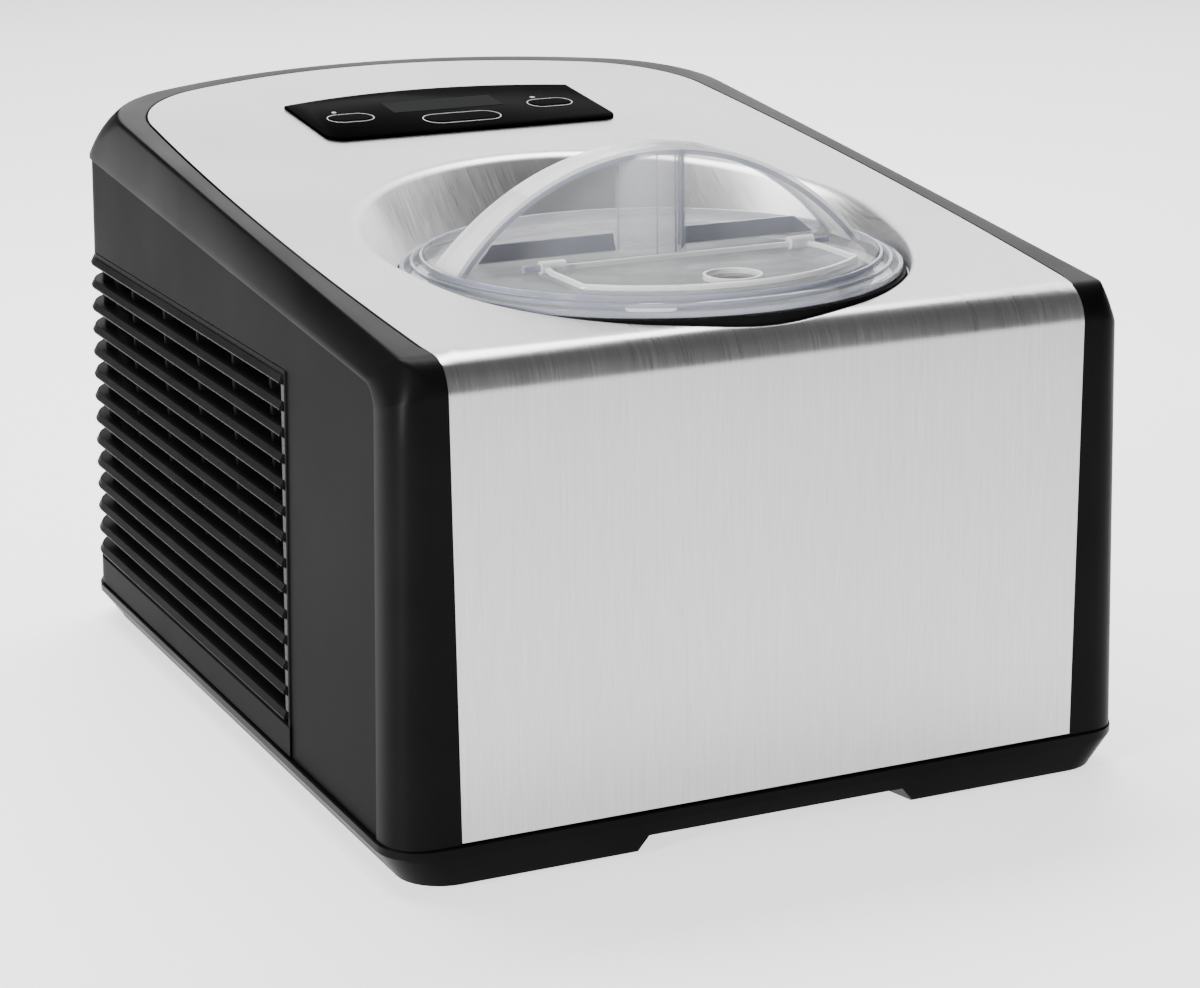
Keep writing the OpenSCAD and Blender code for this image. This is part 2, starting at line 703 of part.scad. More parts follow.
module discharge_pipe() color(copper) pipe([
    [discharge_spot.x, discharge_spot.y, comp_low_z + comp_h + 0.1],
    [discharge_spot.x, discharge_spot.y, pipe_top_z],
    [cond_tube_x + 2, cond_end_y + 10, pipe_top_z - 4.6],
    [cond_tube_x, cond_end_y + 13, cond_top_tube_z + 1.4],
    [cond_tube_x, cond_end_y + 0.5, cond_top_tube_z]], pipe_r);

module suction_pipe() color(copper) pipe([
    on_spoke(coil_r + pipe_r + 0.05, coil_out_z),
    on_spoke(foam_outer_r + 12, coil_out_z + 1),
    [suction_spot.x + 4.5, suction_spot.y - 7, comp_low_z + comp_h + 19],
    [suction_spot.x, suction_spot.y, comp_low_z + comp_h + 1.2]], suction_r);

drier_x = cond_x + cond_w + 8;
drier_y = cond_y0 - 8;
drier_z = tray_floor_z + 60;
drier_r = 8;
drier_l = 60;
drier_cone = 8;

module filter_drier() color(copper) translate([drier_x, drier_y, drier_z]) {
    cylinder(r = drier_r, h = drier_l);
    translate([0, 0, drier_l]) cylinder(r1 = drier_r, r2 = pipe_r, h = drier_cone);
    translate([0, 0, -drier_cone]) cylinder(r1 = pipe_r, r2 = drier_r, h = drier_cone);
}

module capillary_pipe() color(copper) {
    over_z = drier_z + drier_l + 20;
    pipe([[drier_x, drier_y, drier_z + drier_l + drier_cone + 0.1], [drier_x, drier_y, over_z],
          [drier_x + 30, drier_y, over_z], [drier_x + 30, drier_y, coil_in_z],
          on_spoke(foam_outer_r + 8, coil_in_z),
          on_spoke(coil_r + pipe_r + 0.05, coil_in_z)], capillary_r);
}

cond_rows = 6;
cond_row_pitch = 20;
cond_tube_x = cond_x + cond_w / 2;
cond_first_z = cond_z0 + 13;
cond_top_tube_z = cond_first_z + (cond_rows - 1) * cond_row_pitch;
cond_end_y = cond_y0 + cond_len + 6;
cond_tube_r = 3;

module condenser_fins() color([0.75, 0.76, 0.78]) for (i = [0:19])
    translate([cond_x, cond_y0 + i * (cond_len - 1) / 19, cond_z0]) difference() {
        cube([cond_w, 0.8, cond_h]);
        for (k = [0:cond_rows - 1])
            translate([cond_w / 2, -1, cond_first_z - cond_z0 + k * cond_row_pitch])
                rotate([-90, 0, 0]) cylinder(r = cond_tube_r + 0.05, h = 3, $fn = 32);
    }

module condenser_tube() color(copper) {
    for (k = [0:cond_rows - 1]) translate([cond_tube_x, cond_y0 - 6, cond_first_z + k * cond_row_pitch])
        rotate([-90, 0, 0]) cylinder(r = cond_tube_r, h = cond_len + 12, $fn = 32);
    // Return bends, in turn at the front and at the back
    for (k = [0:cond_rows - 2]) {
        bend_y = k % 2 == 0 ? cond_y0 - 6 : cond_end_y;
        translate([cond_tube_x, bend_y, cond_first_z + (k + 0.5) * cond_row_pitch])
            rotate([90, 0, 90]) rotate_extrude(angle = 180, $fn = 64, start = k % 2 == 0 ? 90 : -90)
                translate([cond_row_pitch / 2, 0]) circle(r = cond_tube_r, $fn = 32);
    }
}

module fan_shroud() color([0.12, 0.12, 0.13]) translate([cond_x + cond_w + 2, 0, 0]) difference() {
    union() {
        translate([0, cond_y0, tray_floor_z + 0.1])
            cube([2.5, cond_len, cond_z0 + cond_h - tray_floor_z]);
        translate([0, fan_y, fan_z]) rotate([0, 90, 0]) cylinder(r = fan_r + 5, h = 22);
    }
    translate([-1, fan_y, fan_z]) rotate([0, 90, 0]) cylinder(r = fan_r + 2.5, h = 40);
}

module fan_blade() color([0.3, 0.3, 0.32]) translate([fan_x, fan_y, fan_z]) rotate([0, 90, 0]) {
    difference() {
        translate([0, 0, -8]) cylinder(r = 14, h = 14);
        translate([0, 0, -3]) cylinder(r = 3.06, h = 20);
    }
    for (i = [0:5]) rotate(i * 60) translate([12, -11, -4]) rotate([28, 0, 0])
        cube([fan_r - 13, 22, 1.6]);
}

module fan_motor() color([0.45, 0.45, 0.48]) translate([fan_x + 8, fan_y, fan_z]) rotate([0, 90, 0]) {
    cylinder(r = 20, h = 30);
    translate([0, 0, -10]) cylinder(r = 3, h = 10.1);
    for (a = [45:90:315]) rotate(a) translate([0, -3, 5]) cube([fan_r + 12, 6, 3]);
}

// Controls ------------------------------------------------------------------------------------

led_shift = [-4, 10];
led_r = 1.2;
stem_l = 3;
board_t = 1.6;
switch_h = board_drop - board_t - panel_deep - stem_l - button_travel - 0.8;
// Places on the panel, from the middle of its front edge
key_spots = [[-button_x, small_button_y - panel_y0], [button_x, small_button_y - panel_y0],
    [0, timer_button_y - panel_y0]];
led_spots = [for (i = [0, 1]) key_spots[i] + led_shift];
display_low = [-display_size.x / 2, display_y - panel_y0 - display_size.y / 2];

function grown(size) = [size.x + 2 * button_gap, size.y + 2 * button_gap];

module control_panel() color(gloss_black) on_top(panel_y0) difference() {
    translate([0, 0, -panel_deep]) linear_extrude(panel_deep + panel_proud) panel_outline(0);
    for (i = [0, 1]) translate([key_spots[i].x, key_spots[i].y, -20]) oval(grown(small_button), 40);
    translate([key_spots[2].x, key_spots[2].y, -20]) oval(grown(timer_button_size), 40);
    translate([display_low.x - 0.1, display_low.y - 0.1, -20])
        cube([display_size.x + 0.2, display_size.y + 0.2, 40]);
    for (p = led_spots) translate([p.x, p.y, -20]) cylinder(r = led_r + 0.1, h = 40);
}

module display() color([0.22, 0.24, 0.23]) on_top(panel_y0)
    translate([display_low.x, display_low.y, -7])
        cube([display_size.x, display_size.y, 7 + panel_proud - 0.5]);

module indicator_lights() color([0.9, 0.9, 0.9]) on_top(panel_y0)
    for (p = led_spots) translate([p.x, p.y, -board_drop + board_t + 0.1])
        cylinder(r = led_r, h = board_drop - board_t - 0.1 + panel_proud - 0.1);

module button(size, i) color(gloss_black) on_top(panel_y0)
    translate([key_spots[i].x, key_spots[i].y, 0]) {
        translate([0, 0, -panel_deep]) oval(size, panel_deep + panel_proud + 0.3);
        translate([0, 0, -panel_deep - stem_l]) cylinder(r = 2.5, h = stem_l + 0.1);
    }

module power_button() button(small_button, 0);
module start_button() button(small_button, 1);
module timer_button() button(timer_button_size, 2);

module control_board() color([0.1, 0.35, 0.2]) on_top(panel_y0) translate([0, 0, -board_drop]) {
    translate([-panel_hw + 6, 4, 0]) cube([2 * panel_hw - 12, panel_len - 6, board_t]);
    for (p = key_spots) translate([p.x - 3, p.y - 3, board_t - 0.1]) cube([6, 6, switch_h]);
    for (x = [-panel_hw + 12, panel_hw - 12])
        translate([x, 14, board_t - 0.1]) cylinder(r = 3, h = board_drop - board_t - panel_deep);
}

// Bowl, paddle and lid ------------------------------------------------------------------------

module mixing_bowl() color([0.8, 0.8, 0.81]) translate([0, well_y, 0]) difference() {
    union() {
        translate([0, 0, bowl_low_z]) cylinder(r = bowl_r, h = bowl_h);
        translate([0, 0, rim_z - bowl_flange_t]) cylinder(r = bowl_flange_r, h = bowl_flange_t);
    }
    difference() {
        translate([0, 0, bowl_low_z + bowl_t]) cylinder(r = bowl_inner_r, h = 200);
        cylinder(r = chimney_r + chimney_t, h = chimney_top_z);
    }
    cylinder(r = chimney_r, h = front_h);
}

hub_r = chimney_r + chimney_t;
paddle_low_z = bowl_low_z + bowl_t + 2;
paddle_top_z = lid_z - 17;
paddle_reach = bowl_inner_r - 4;
paddle_h = paddle_top_z - paddle_low_z;
hub_h = paddle_top_z - chimney_top_z;
short_reach = paddle_reach * 0.66;
blade_t = 3.5;

// A flat blade from a corner [x, z] with a size [length, height]
module blade(corner, size)
    translate([corner.x, -blade_t / 2, corner.y]) cube([size.x, blade_t, size.y]);

module paddle() color([0.92, 0.92, 0.9]) translate([0, well_y, 0]) difference() {
    union() {
        translate([0, 0, chimney_top_z + 1]) cylinder(r = hub_r, h = hub_h - 1);
        // Tall blade on one side, short one on the other
        blade([hub_r + 2, paddle_low_z], [paddle_reach - hub_r - 2, paddle_h]);
        blade([hub_r - 2, chimney_top_z + 3], [8, hub_h - 3]);
        blade([-short_reach, chimney_top_z + 3], [short_reach, hub_h * 0.6]);
        blade([-short_reach, paddle_low_z], [short_reach * 0.4, chimney_top_z - paddle_low_z + 5]);
    }
    translate([0, 0, chimney_top_z])
        cylinder(r = shaft_r + hex_gap, h = shaft_top_z - chimney_top_z + 1, $fn = 6);
    // Windows through the tall blade
    for (z = [0.12, 0.56]) translate([hub_r + 14, -5, paddle_low_z + z * paddle_h])
        cube([paddle_reach - hub_r - 28, 10, paddle_h * 0.32]);
}

deck_r = lid_r - 8.5;
deck_h = 7;
flange_t = 3;
skirt_r = bowl_inner_r - 1;
skirt_h = 10;
flap_hw = 58;
flap_r = deck_r - 5.5;
hinge_dy = -24;
hinge_z = lid_z + deck_h + 1.8;
pin_r = 1.5;
knuckle_r = 3.2;
post_r = 14;
deck_top_z = lid_z + deck_h;
arch_half = deck_r - 2;
arch_top_z = lid_z + arch_h;
arch_rise = arch_top_z - deck_top_z + 2;
arch_r = (arch_half * arch_half + arch_rise * arch_rise) / (2 * arch_rise);
finger_r = 10;

module flap_shape(hw, r, y_top) intersection() {
    circle(r = r);
    translate([-hw, -2 * deck_r]) square([2 * hw, 2 * deck_r + y_top]);
}

// A disc standing upright across the bowl's axis, w thick
module arch_disc(r, w)
    translate([0, w / 2, arch_top_z - arch_r]) rotate([90, 0, 0]) cylinder(r = r, h = w, $fn = 180);

// A bar along the flap's hinge axis, from x over a length
module hinge_bar(x, length, r)
    translate([x, hinge_dy, hinge_z]) rotate([0, 90, 0]) cylinder(r = r, h = length, $fn = 32);

ear_x = flap_hw + 3;
ear_w = 4;
opening_z = deck_top_z - 1.2;

module lid() color(clear) translate([0, well_y, 0]) difference() {
    union() {
        translate([0, 0, lid_z]) cylinder(r = lid_r, h = flange_t);
        translate([0, 0, lid_z - skirt_h]) cylinder(r = skirt_r, h = skirt_h + 1);
        translate([0, 0, lid_z]) cylinder(r = deck_r, h = deck_h);
        // Arched web across the middle with a band along its top
        intersection() {
            union() {
                arch_disc(arch_r, lid_t);
                difference() {
                    arch_disc(arch_r, arch_band);
                    arch_disc(arch_r - lid_t, 2 * arch_band);
                }
            }
            translate([-deck_r, -50, deck_top_z - 1]) cube([2 * deck_r, 100, 100]);
            translate([0, 0, lid_z]) cylinder(r = deck_r - 0.5, h = 100);
        }
        translate([0, 0, deck_top_z - 1]) cylinder(r = post_r, h = arch_top_z - deck_top_z + 1.8);
        // Ears that hold the flap's pin
        for (x = [ear_x, -ear_x - ear_w]) {
            hinge_bar(x, ear_w, knuckle_r);
            translate([x, hinge_dy - knuckle_r, deck_top_z - 1]) cube([ear_w, 2 * knuckle_r, 2]);
        }
    }
    // Hollow underside
    translate([0, 0, lid_z - skirt_h - 1])
        cylinder(r = skirt_r - lid_t, h = skirt_h + 1 + deck_h - lid_t);
    translate([0, 0, deck_top_z - lid_t - 1])
        cylinder(r = post_r - 2, h = arch_top_z - deck_top_z + lid_t - 0.8);
    // Spout opening, with a ledge that the flap lies on
    translate([0, 0, opening_z])
        linear_extrude(10) flap_shape(flap_hw + flap_gap, flap_r + flap_gap, hinge_dy + 2);
    translate([0, 0, lid_z]) linear_extrude(20) flap_shape(flap_hw - 4, flap_r - 4, hinge_dy - 6);
    // Room for the flap's knuckles
    hinge_bar(-flap_hw - flap_gap, 2 * (flap_hw + flap_gap), knuckle_r - 0.2);
    // Way for the pin
    hinge_bar(-flap_hw - 20, 2 * flap_hw + 40, pin_r + 0.02);
    // Dimple in the top disc
    translate([0, 0, arch_top_z + 0.4]) cylinder(r = 2.2, h = 3);
}

module flap_pin() color([0.7, 0.7, 0.72]) translate([0, well_y, 0])
    for (x = [flap_hw - 8, -flap_hw - 7]) hinge_bar(x, 15, pin_r);

module ingredient_flap() color(clear) translate([0, well_y, 0]) difference() {
    union() {
        translate([0, 0, deck_top_z - 0.9])
            linear_extrude(lid_t + 0.2) flap_shape(flap_hw, flap_r, hinge_dy - 1);
        // Low rim round the flap's edge
        difference() {
            translate([0, 0, deck_top_z - 0.9])
                linear_extrude(lid_t + 1.4) flap_shape(flap_hw, flap_r, hinge_dy - 6);
            translate([0, 0, deck_top_z])
                linear_extrude(10) flap_shape(flap_hw - 2, flap_r - 2, hinge_dy - 6);
        }
        for (x = [flap_hw - 10, -flap_hw]) hinge_bar(x, 10, knuckle_r - 0.6);
    }
    // Finger hole near the flap's front edge
    translate([0, finger_r + 5 - flap_r, lid_z]) cylinder(r = finger_r, h = 20);
    hinge_bar(-flap_hw - 20, 2 * flap_hw + 40, pin_r + 0.06);
}

// Cord gland, wiring and fasteners ------------------------------------------------------------

module cord_gland() color([0.05, 0.05, 0.05])
    translate([0, y_back - base_lip - shell_t - 2.4, gland_z]) rotate([-90, 0, 0]) difference() {
        union() {
            cylinder(r = gland_hole_r - 0.2, h = shell_t + 2.9);
            translate([0, 0, -2]) cylinder(r = 7, h = 3.9);
        }
        translate([0, 0, -5]) cylinder(r = 3.2, h = 30);
    }

module wiring_loom() color([0.5, 0.1, 0.1]) pipe([
    [loom_top_x, panel_y0 + 30, top_z(panel_y0 + 30) - board_drop - 2],
    [loom_top_x, panel_y0 + 30, loom_low_z],
    [loom_x, panel_y0 + 30, loom_low_z],
    [loom_x, y_back - 36, loom_low_z],
    [0, y_back - 36, gland_z],
    [0, y_back - base_lip - shell_t - 4.6, gland_z]], 2.2);

module base_screws() color([0.6, 0.6, 0.62])
    for (p = boss_spots) translate([p.x, p.y, tray_low_z + 1.2]) screw(24, 1.75);

module gearbox_screws() color([0.6, 0.6, 0.62]) for (p = case_screw_spots)
    translate([p.x, p.y, case_top_z + cover_t + 2.6]) mirror([0, 0, 1]) screw(14, 1.9);

base_tray();
feet();
housing();
rear_cover();
steel_cover();
well_seal();
freezing_cup();
evaporator_coil();
insulation();
gearbox_case();
gearbox_cover();
shaft_bush();
drive_motor();
motor_pinion();
output_gear();
drive_shaft();
compressor();
compressor_grommets();
terminal_cover();
discharge_pipe();
suction_pipe();
capillary_pipe();
filter_drier();
condenser_fins();
condenser_tube();
fan_shroud();
fan_motor();
fan_blade();
control_panel();
display();
indicator_lights();
control_board();
power_button();
timer_button();
start_button();
mixing_bowl();
paddle();
lid();
flap_pin();
ingredient_flap();
cord_gland();
wiring_loom();
base_screws();
gearbox_screws();
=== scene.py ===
"""Looks of a countertop ice cream maker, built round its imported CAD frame.

Metres, +Z up, front towards -Y.
"""

from __future__ import annotations

import json
import logging
import math
from dataclasses import dataclass, replace
from enum import Enum
from typing import Callable, Sequence

import bpy
from mathutils import Matrix, Vector

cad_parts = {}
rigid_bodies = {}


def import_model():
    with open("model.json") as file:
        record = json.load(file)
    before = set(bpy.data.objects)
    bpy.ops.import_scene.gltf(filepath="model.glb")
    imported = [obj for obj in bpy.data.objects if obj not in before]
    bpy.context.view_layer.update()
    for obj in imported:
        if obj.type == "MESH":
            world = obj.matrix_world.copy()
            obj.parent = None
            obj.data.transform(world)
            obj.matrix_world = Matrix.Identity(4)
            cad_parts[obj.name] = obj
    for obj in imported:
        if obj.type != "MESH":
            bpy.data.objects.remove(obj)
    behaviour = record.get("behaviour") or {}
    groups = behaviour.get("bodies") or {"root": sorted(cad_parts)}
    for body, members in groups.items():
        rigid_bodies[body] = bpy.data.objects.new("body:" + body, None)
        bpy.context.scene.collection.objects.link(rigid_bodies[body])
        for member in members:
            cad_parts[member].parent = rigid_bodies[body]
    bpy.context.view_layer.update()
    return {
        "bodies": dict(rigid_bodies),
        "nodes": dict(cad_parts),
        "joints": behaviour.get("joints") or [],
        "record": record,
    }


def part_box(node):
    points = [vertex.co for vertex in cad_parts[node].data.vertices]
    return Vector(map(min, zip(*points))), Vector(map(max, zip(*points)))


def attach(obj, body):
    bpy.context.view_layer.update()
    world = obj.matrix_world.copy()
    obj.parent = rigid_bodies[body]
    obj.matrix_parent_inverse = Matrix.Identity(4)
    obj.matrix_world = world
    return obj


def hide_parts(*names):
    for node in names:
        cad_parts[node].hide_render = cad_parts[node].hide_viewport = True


LOG = logging.getLogger("ice_cream_maker")
MM = 0.001
Point = tuple[float, float, float]
Flat = tuple[float, float]
Place = Callable[[float, float, float], Point]


class Finish(Enum):
    """The record's material slots: the CAD nodes take their material from these, and each new piece names
    one.
    """

    SHELL = "black_shell"
    GLOSS = "gloss_black"
    STEEL = "brushed_steel"
    RUBBER = "black_rubber"
    ALUMINIUM = "bare_aluminium"
    WHITE = "white_plastic"
    CLEAR = "clear_plastic"
    DISPLAY = "display_glass"
    CABLE = "cable"
    COPPER = "copper_pipe"
    FOAM = "foam"
    GREY = "grey_plastic"
    MOTOR = "motor_steel"
    ENAMEL = "black_paint"
    BOARD = "board"
    SHAFT = "shaft_steel"


# Outlines ------------------------------------------------------------------------------------


def arc(centre: Flat, radius: float, start: float, end: float, steps: int) -> list[Flat]:
    """Points along an arc.

    Args:
        centre: The arc's centre.
        radius: Its radius.
        start: First angle, in degrees.
        end: Last angle, in degrees.
        steps: How many steps it takes.

    Returns:
        steps + 1 points.
    """
    out = []
    for i in range(steps + 1):
        a = math.radians(start + (end - start) * i / steps)
        out.append((centre[0] + radius * math.cos(a), centre[1] + radius * math.sin(a)))
    return out


def mix(a: Sequence[float], b: Sequence[float], t: float) -> Point:
    """The point a share t of the way from a to b."""
    return tuple(p + (q - p) * t for p, q in zip(a, b))


def bezier(a: Sequence[float], k: Sequence[float], b: Sequence[float], t: float) -> Point:
    """A point on the curve from a to b that is drawn towards k."""
    return mix(mix(a, k, t), mix(k, b, t), t)


@dataclass(frozen=True)
class Plan:
    """An outline seen from above: front corners, bowed sides, rear corners and a bowed back.

    Every plan has the same number of points, so two plans can be bridged point by point.
    """

    half_w: float
    front: float
    back: float
    front_r: float
    rear_r: float
    back_r: float
    bow: float = 0.0
    taper: float = 0.0
    middle: float = -0.04
    reach: float = 0.21
    corner_steps: int = 8
    side_steps: int = 16
    rear_steps: int = 16
    back_steps: int = 14

    def right(self) -> list[Flat]:
        """The right half, from the front towards the middle of the back."""
        turn = math.acos((self.half_w - self.rear_r) / (self.back_r - self.rear_r))
        back_y = self.back - self.back_r
        corner_y = back_y + (self.back_r - self.rear_r) * math.sin(turn)
        side_y = self.front + self.front_r
        deg = math.degrees(turn)
        points = arc((self.half_w - self.front_r, side_y), self.front_r, -90, 0, self.corner_steps)
        for i in range(1, self.side_steps):
            points.append((self.half_w, side_y + (corner_y - side_y) * i / self.side_steps))
        points += arc((self.half_w - self.rear_r, corner_y), self.rear_r, 0, deg, self.rear_steps)
        points += arc((0.0, back_y), self.back_r, deg, 90, self.back_steps)[1:]
        return [(x * self.squeeze(y), y) for x, y in points]

    def squeeze(self, y: float) -> float:
        """How much narrower the outline is at y than at its widest."""
        taper = self.taper * max(y + self.reach, 0.0) / (2 * self.reach)
        return 1 - taper - self.bow * ((y - self.middle) / self.reach) ** 2

    def around(self) -> list[Flat]:
        """The whole outline, from the front right corner round the back to the front left."""
        half = self.right()
        return half + [(-x, y) for x, y in reversed(half[:-1])]

    def inset(self, d: float) -> Plan:
        """The same outline drawn in by d."""
        return Plan(self.half_w - d, self.front + d, self.back - d, max(self.front_r - d, 1e-4),
                    self.rear_r - d, self.back_r - d, self.bow, self.taper, self.middle, self.reach,
                    self.corner_steps, self.side_steps, self.rear_steps, self.back_steps)


@dataclass
class Layout:
    """The main places of the machine, taken from the CAD frame's boxes."""

    half_w: float = 0.0
    front: float = 0.0
    back: float = 0.0
    base_h: float = 0.0
    slope: float = math.radians(6.8)
    taper: float = 0.035
    lean: float = 4.0 * MM
    front_in: float = 1.2 * MM
    base_lip: float = 1.0 * MM
    bend_r: float = 14.0 * MM
    crease_slope: float = math.radians(4.5)
    front_h: float = 0.0
    well_y: float = 0.0
    lid_r: float = 0.0
    lid_z: float = 0.0
    seam: float = 0.0
    steel_half: float = 0.0

    @classmethod
    def from_frame(cls) -> Layout:
        """Reads the driving places from the frame.

        Returns:
            The layout that all pieces share.
        """
        low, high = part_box("base_tray")
        lid_low, lid_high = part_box("lid")
        steel_low, steel_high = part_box("steel_cover")
        cover_low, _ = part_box("rear_cover")
        pin_low, pin_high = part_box("flap_pin")
        out = cls(half_w=high.x, front=low.y, back=high.y, base_h=high.z)
        out.well_y = (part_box("mixing_bowl")[0].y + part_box("mixing_bowl")[1].y) / 2
        out.lid_r = lid_high.x
        out.lid_z = (pin_low.z + pin_high.z) / 2 - 8.8 * MM
        out.front_h = out.lid_z - 2.0 * MM
        out.seam = cover_low.y
        out.steel_half = steel_high.x
        return out

    def top_z(self, y: float) -> float:
        """Height of the sloped top plane at y."""
        return self.front_h + (y - self.front - 12 * MM) * math.tan(self.slope)

    @property
    def face_y(self) -> float:
        """The front face of the housing."""
        return self.front + self.base_lip

    @property
    def bend(self) -> Flat:
        """Centre, in y and z, of the bend between the top and the front."""
        y = self.face_y + self.bend_r
        return y, self.top_z(y) - self.bend_r / math.cos(self.slope)

    def skin_z(self, y: float) -> float:
        """Height of the top skin at y, over the flat and round the bend."""
        by, bz = self.bend
        start = by - self.bend_r * math.sin(self.slope)
        if y >= start:
            return self.top_z(y)
        return bz + math.sqrt(max(self.bend_r**2 - (by - y) ** 2, 0.0))

    def crease_z(self, y: float) -> float:
        """Height of the crease between the upright side and the shoulder."""
        return self.front_h - 12 * MM + (y - self.front) * math.tan(self.crease_slope)

    def lean_at(self, z: float) -> float:
        """How far the side walls have leaned in at height z."""
        return self.lean * (z - self.base_h) / (self.front_h - 12 * MM - self.base_h)

    def body_plan(self, d: float = 0.0, z: float | None = None) -> Plan:
        """Outline of the housing's walls, drawn in by d, at height z or at their foot."""
        lip = self.base_lip
        lean = 0.0 if z is None else self.lean_at(z)
        plan = Plan(self.half_w - lip, self.front + lip, self.back - lip, 18 * MM, 28 * MM, 420 * MM,
                    taper=self.taper).inset(d)
        return replace(plan, half_w=plan.half_w - lean)

    def rim_plan(self, d: float = 0.0) -> Plan:
        """Outline of the rim round the steel."""
        return Plan(self.steel_half + 8.5 * MM, self.face_y, self.back - 15 * MM, 18 * MM, 58 * MM,
                    262 * MM, 0.012).inset(d)

    def steel_plan(self, d: float = 0.0) -> Plan:
        """Outline of the steel cover."""
        return Plan(self.steel_half, self.front, self.back - 23.5 * MM, 0.6 * MM, 56 * MM, 262 * MM,
                    0.06).inset(d)

    def on_top(self, x: float, y: float, lift: float = 0.0) -> Point:
        """A point on the top plane, or a lift above it along its normal."""
        return x, y - lift * math.sin(self.slope), self.top_z(y) + lift * math.cos(self.slope)


# Bench tools ---------------------------------------------------------------------------------


class Bench:
    """Modelling operations that the pieces share."""

    @staticmethod
    def deselect() -> None:
        """Leaves nothing selected."""
        if bpy.context.object and bpy.context.object.mode != "OBJECT":
            bpy.ops.object.mode_set(mode="OBJECT")
        bpy.ops.object.select_all(action="DESELECT")

    @classmethod
    def pick(cls, *objs: bpy.types.Object) -> None:
        """Selects these objects, the first one active."""
        cls.deselect()
        for o in objs:
            o.select_set(True)
        bpy.context.view_layer.objects.active = objs[0]

    @classmethod
    def sheet(cls, name: str, rows: Sequence[Sequence[Point]], closed: bool = False) -> bpy.types.Object:
        """A grid primitive laid over rows of points.

        Args:
            name: The new object's name.
            rows: Rows of points, all of one length.
            closed: True if each row's end meets its start.

        Returns:
            The new object, with its place in its mesh.
        """
        rows = [list(r) + ([r[0]] if closed else []) for r in rows]
        nu, nv = len(rows[0]), len(rows)
        cls.deselect()
        bpy.ops.mesh.primitive_grid_add(x_subdivisions=nu - 1, y_subdivisions=nv - 1, size=1)
        obj = bpy.context.object
        obj.name = name
        obj.data.name = name
        flat = [c for row in rows for p in row for c in p]
        obj.data.vertices.foreach_set("co", flat)
        if closed:
            cls.weld(obj, 1e-6)
        return obj

    @classmethod
    def edit(cls, obj: bpy.types.Object, *steps: Callable[[], object]) -> None:
        """Runs operators in edit mode on the whole mesh."""
        cls.pick(obj)
        bpy.ops.object.mode_set(mode="EDIT")
        bpy.ops.mesh.select_all(action="SELECT")
        for step in steps:
            step()
        bpy.ops.object.mode_set(mode="OBJECT")

    @classmethod
    def weld(cls, obj: bpy.types.Object, distance: float = 2e-6) -> None:
        """Merges points that lie together."""
        cls.edit(obj, lambda: bpy.ops.mesh.remove_doubles(threshold=distance))

    @classmethod
    def face_out(cls, obj: bpy.types.Object) -> None:
        """Turns all faces outwards."""
        cls.edit(obj, lambda: bpy.ops.mesh.normals_make_consistent(inside=False))

    @classmethod
    def join(cls, name: str, objs: Sequence[bpy.types.Object]) -> bpy.types.Object:
        """Joins objects into one of that name."""
        if len(objs) > 1:
            cls.pick(*objs)
            bpy.ops.object.join()
        objs[0].name = name
        objs[0].data.name = name
        return objs[0]

    @classmethod
    def modify(cls, obj: bpy.types.Object, kind: str, **values: object) -> None:
        """Adds a modifier with these values and applies it."""
        cls.pick(obj)
        m = obj.modifiers.new(kind.lower(), kind)
        for key, value in values.items():
            setattr(m, key, value)
        bpy.ops.object.modifier_apply(modifier=m.name)

    @classmethod
    def bevel(cls, obj: bpy.types.Object, width: float, segments: int = 2, angle: float = 30) -> None:
        """Rounds the edges that are sharper than an angle."""
        cls.modify(obj, "BEVEL", width=width, segments=segments, limit_method="ANGLE",
                   angle_limit=math.radians(angle), harden_normals=False, use_clamp_overlap=True)

    @classmethod
    def smooth(cls, obj: bpy.types.Object, angle: float = 35) -> None:
        """Shades smooth across edges flatter than an angle."""
        cls.pick(obj)
        bpy.ops.object.shade_smooth_by_angle(angle=math.radians(angle))

    @classmethod
    def turned(cls, name: str, profile: Sequence[Flat], centre: Flat,
               steps: int = 96) -> bpy.types.Object:
        """A round piece turned about an upright axis.

        Args:
            name: The new object's name.
            profile: Points (radius, height) from the first to the last.
            centre: The axis's x and y.
            steps: Steps round the axis.

        Returns:
            The new object.
        """
        rows = []
        for r, z in profile:
            rows.append([(centre[0] + r * math.cos(2 * math.pi * i / steps),
                          centre[1] + r * math.sin(2 * math.pi * i / steps), z) for i in range(steps)])
        obj = cls.sheet(name, rows, closed=True)
        cls.weld(obj, 1e-6)
        return obj

    @classmethod
    def prism(cls, name: str, outline: Sequence[Flat], low: float, high: float,
              place: Place) -> bpy.types.Object:
        """A closed block with a flat outline.

        Args:
            name: The new object's name.
            outline: The outline's points, in order.
            low: The bottom's height.
            high: The top's height.
            place: Maps (x, y, height) into the row frame.

        Returns:
            The new object.
        """
        obj = cls.sheet(name, [[place(x, y, h) for x, y in outline] for h in (low, high)], closed=True)
        cls.cap(obj)
        return obj

    @classmethod
    def cap(cls, obj: bpy.types.Object) -> None:
        """Closes the open ends of a tube."""
        cls.pick(obj)
        bpy.ops.object.mode_set(mode="EDIT")
        bpy.ops.mesh.select_mode(type="EDGE")
        bpy.ops.mesh.select_all(action="DESELECT")
        bpy.ops.mesh.select_non_manifold(extend=False, use_wire=False, use_multi_face=False,
                                         use_non_contiguous=False, use_verts=False)
        bpy.ops.mesh.edge_face_add()
        bpy.ops.mesh.select_all(action="SELECT")
        bpy.ops.mesh.normals_make_consistent(inside=False)
        bpy.ops.object.mode_set(mode="OBJECT")

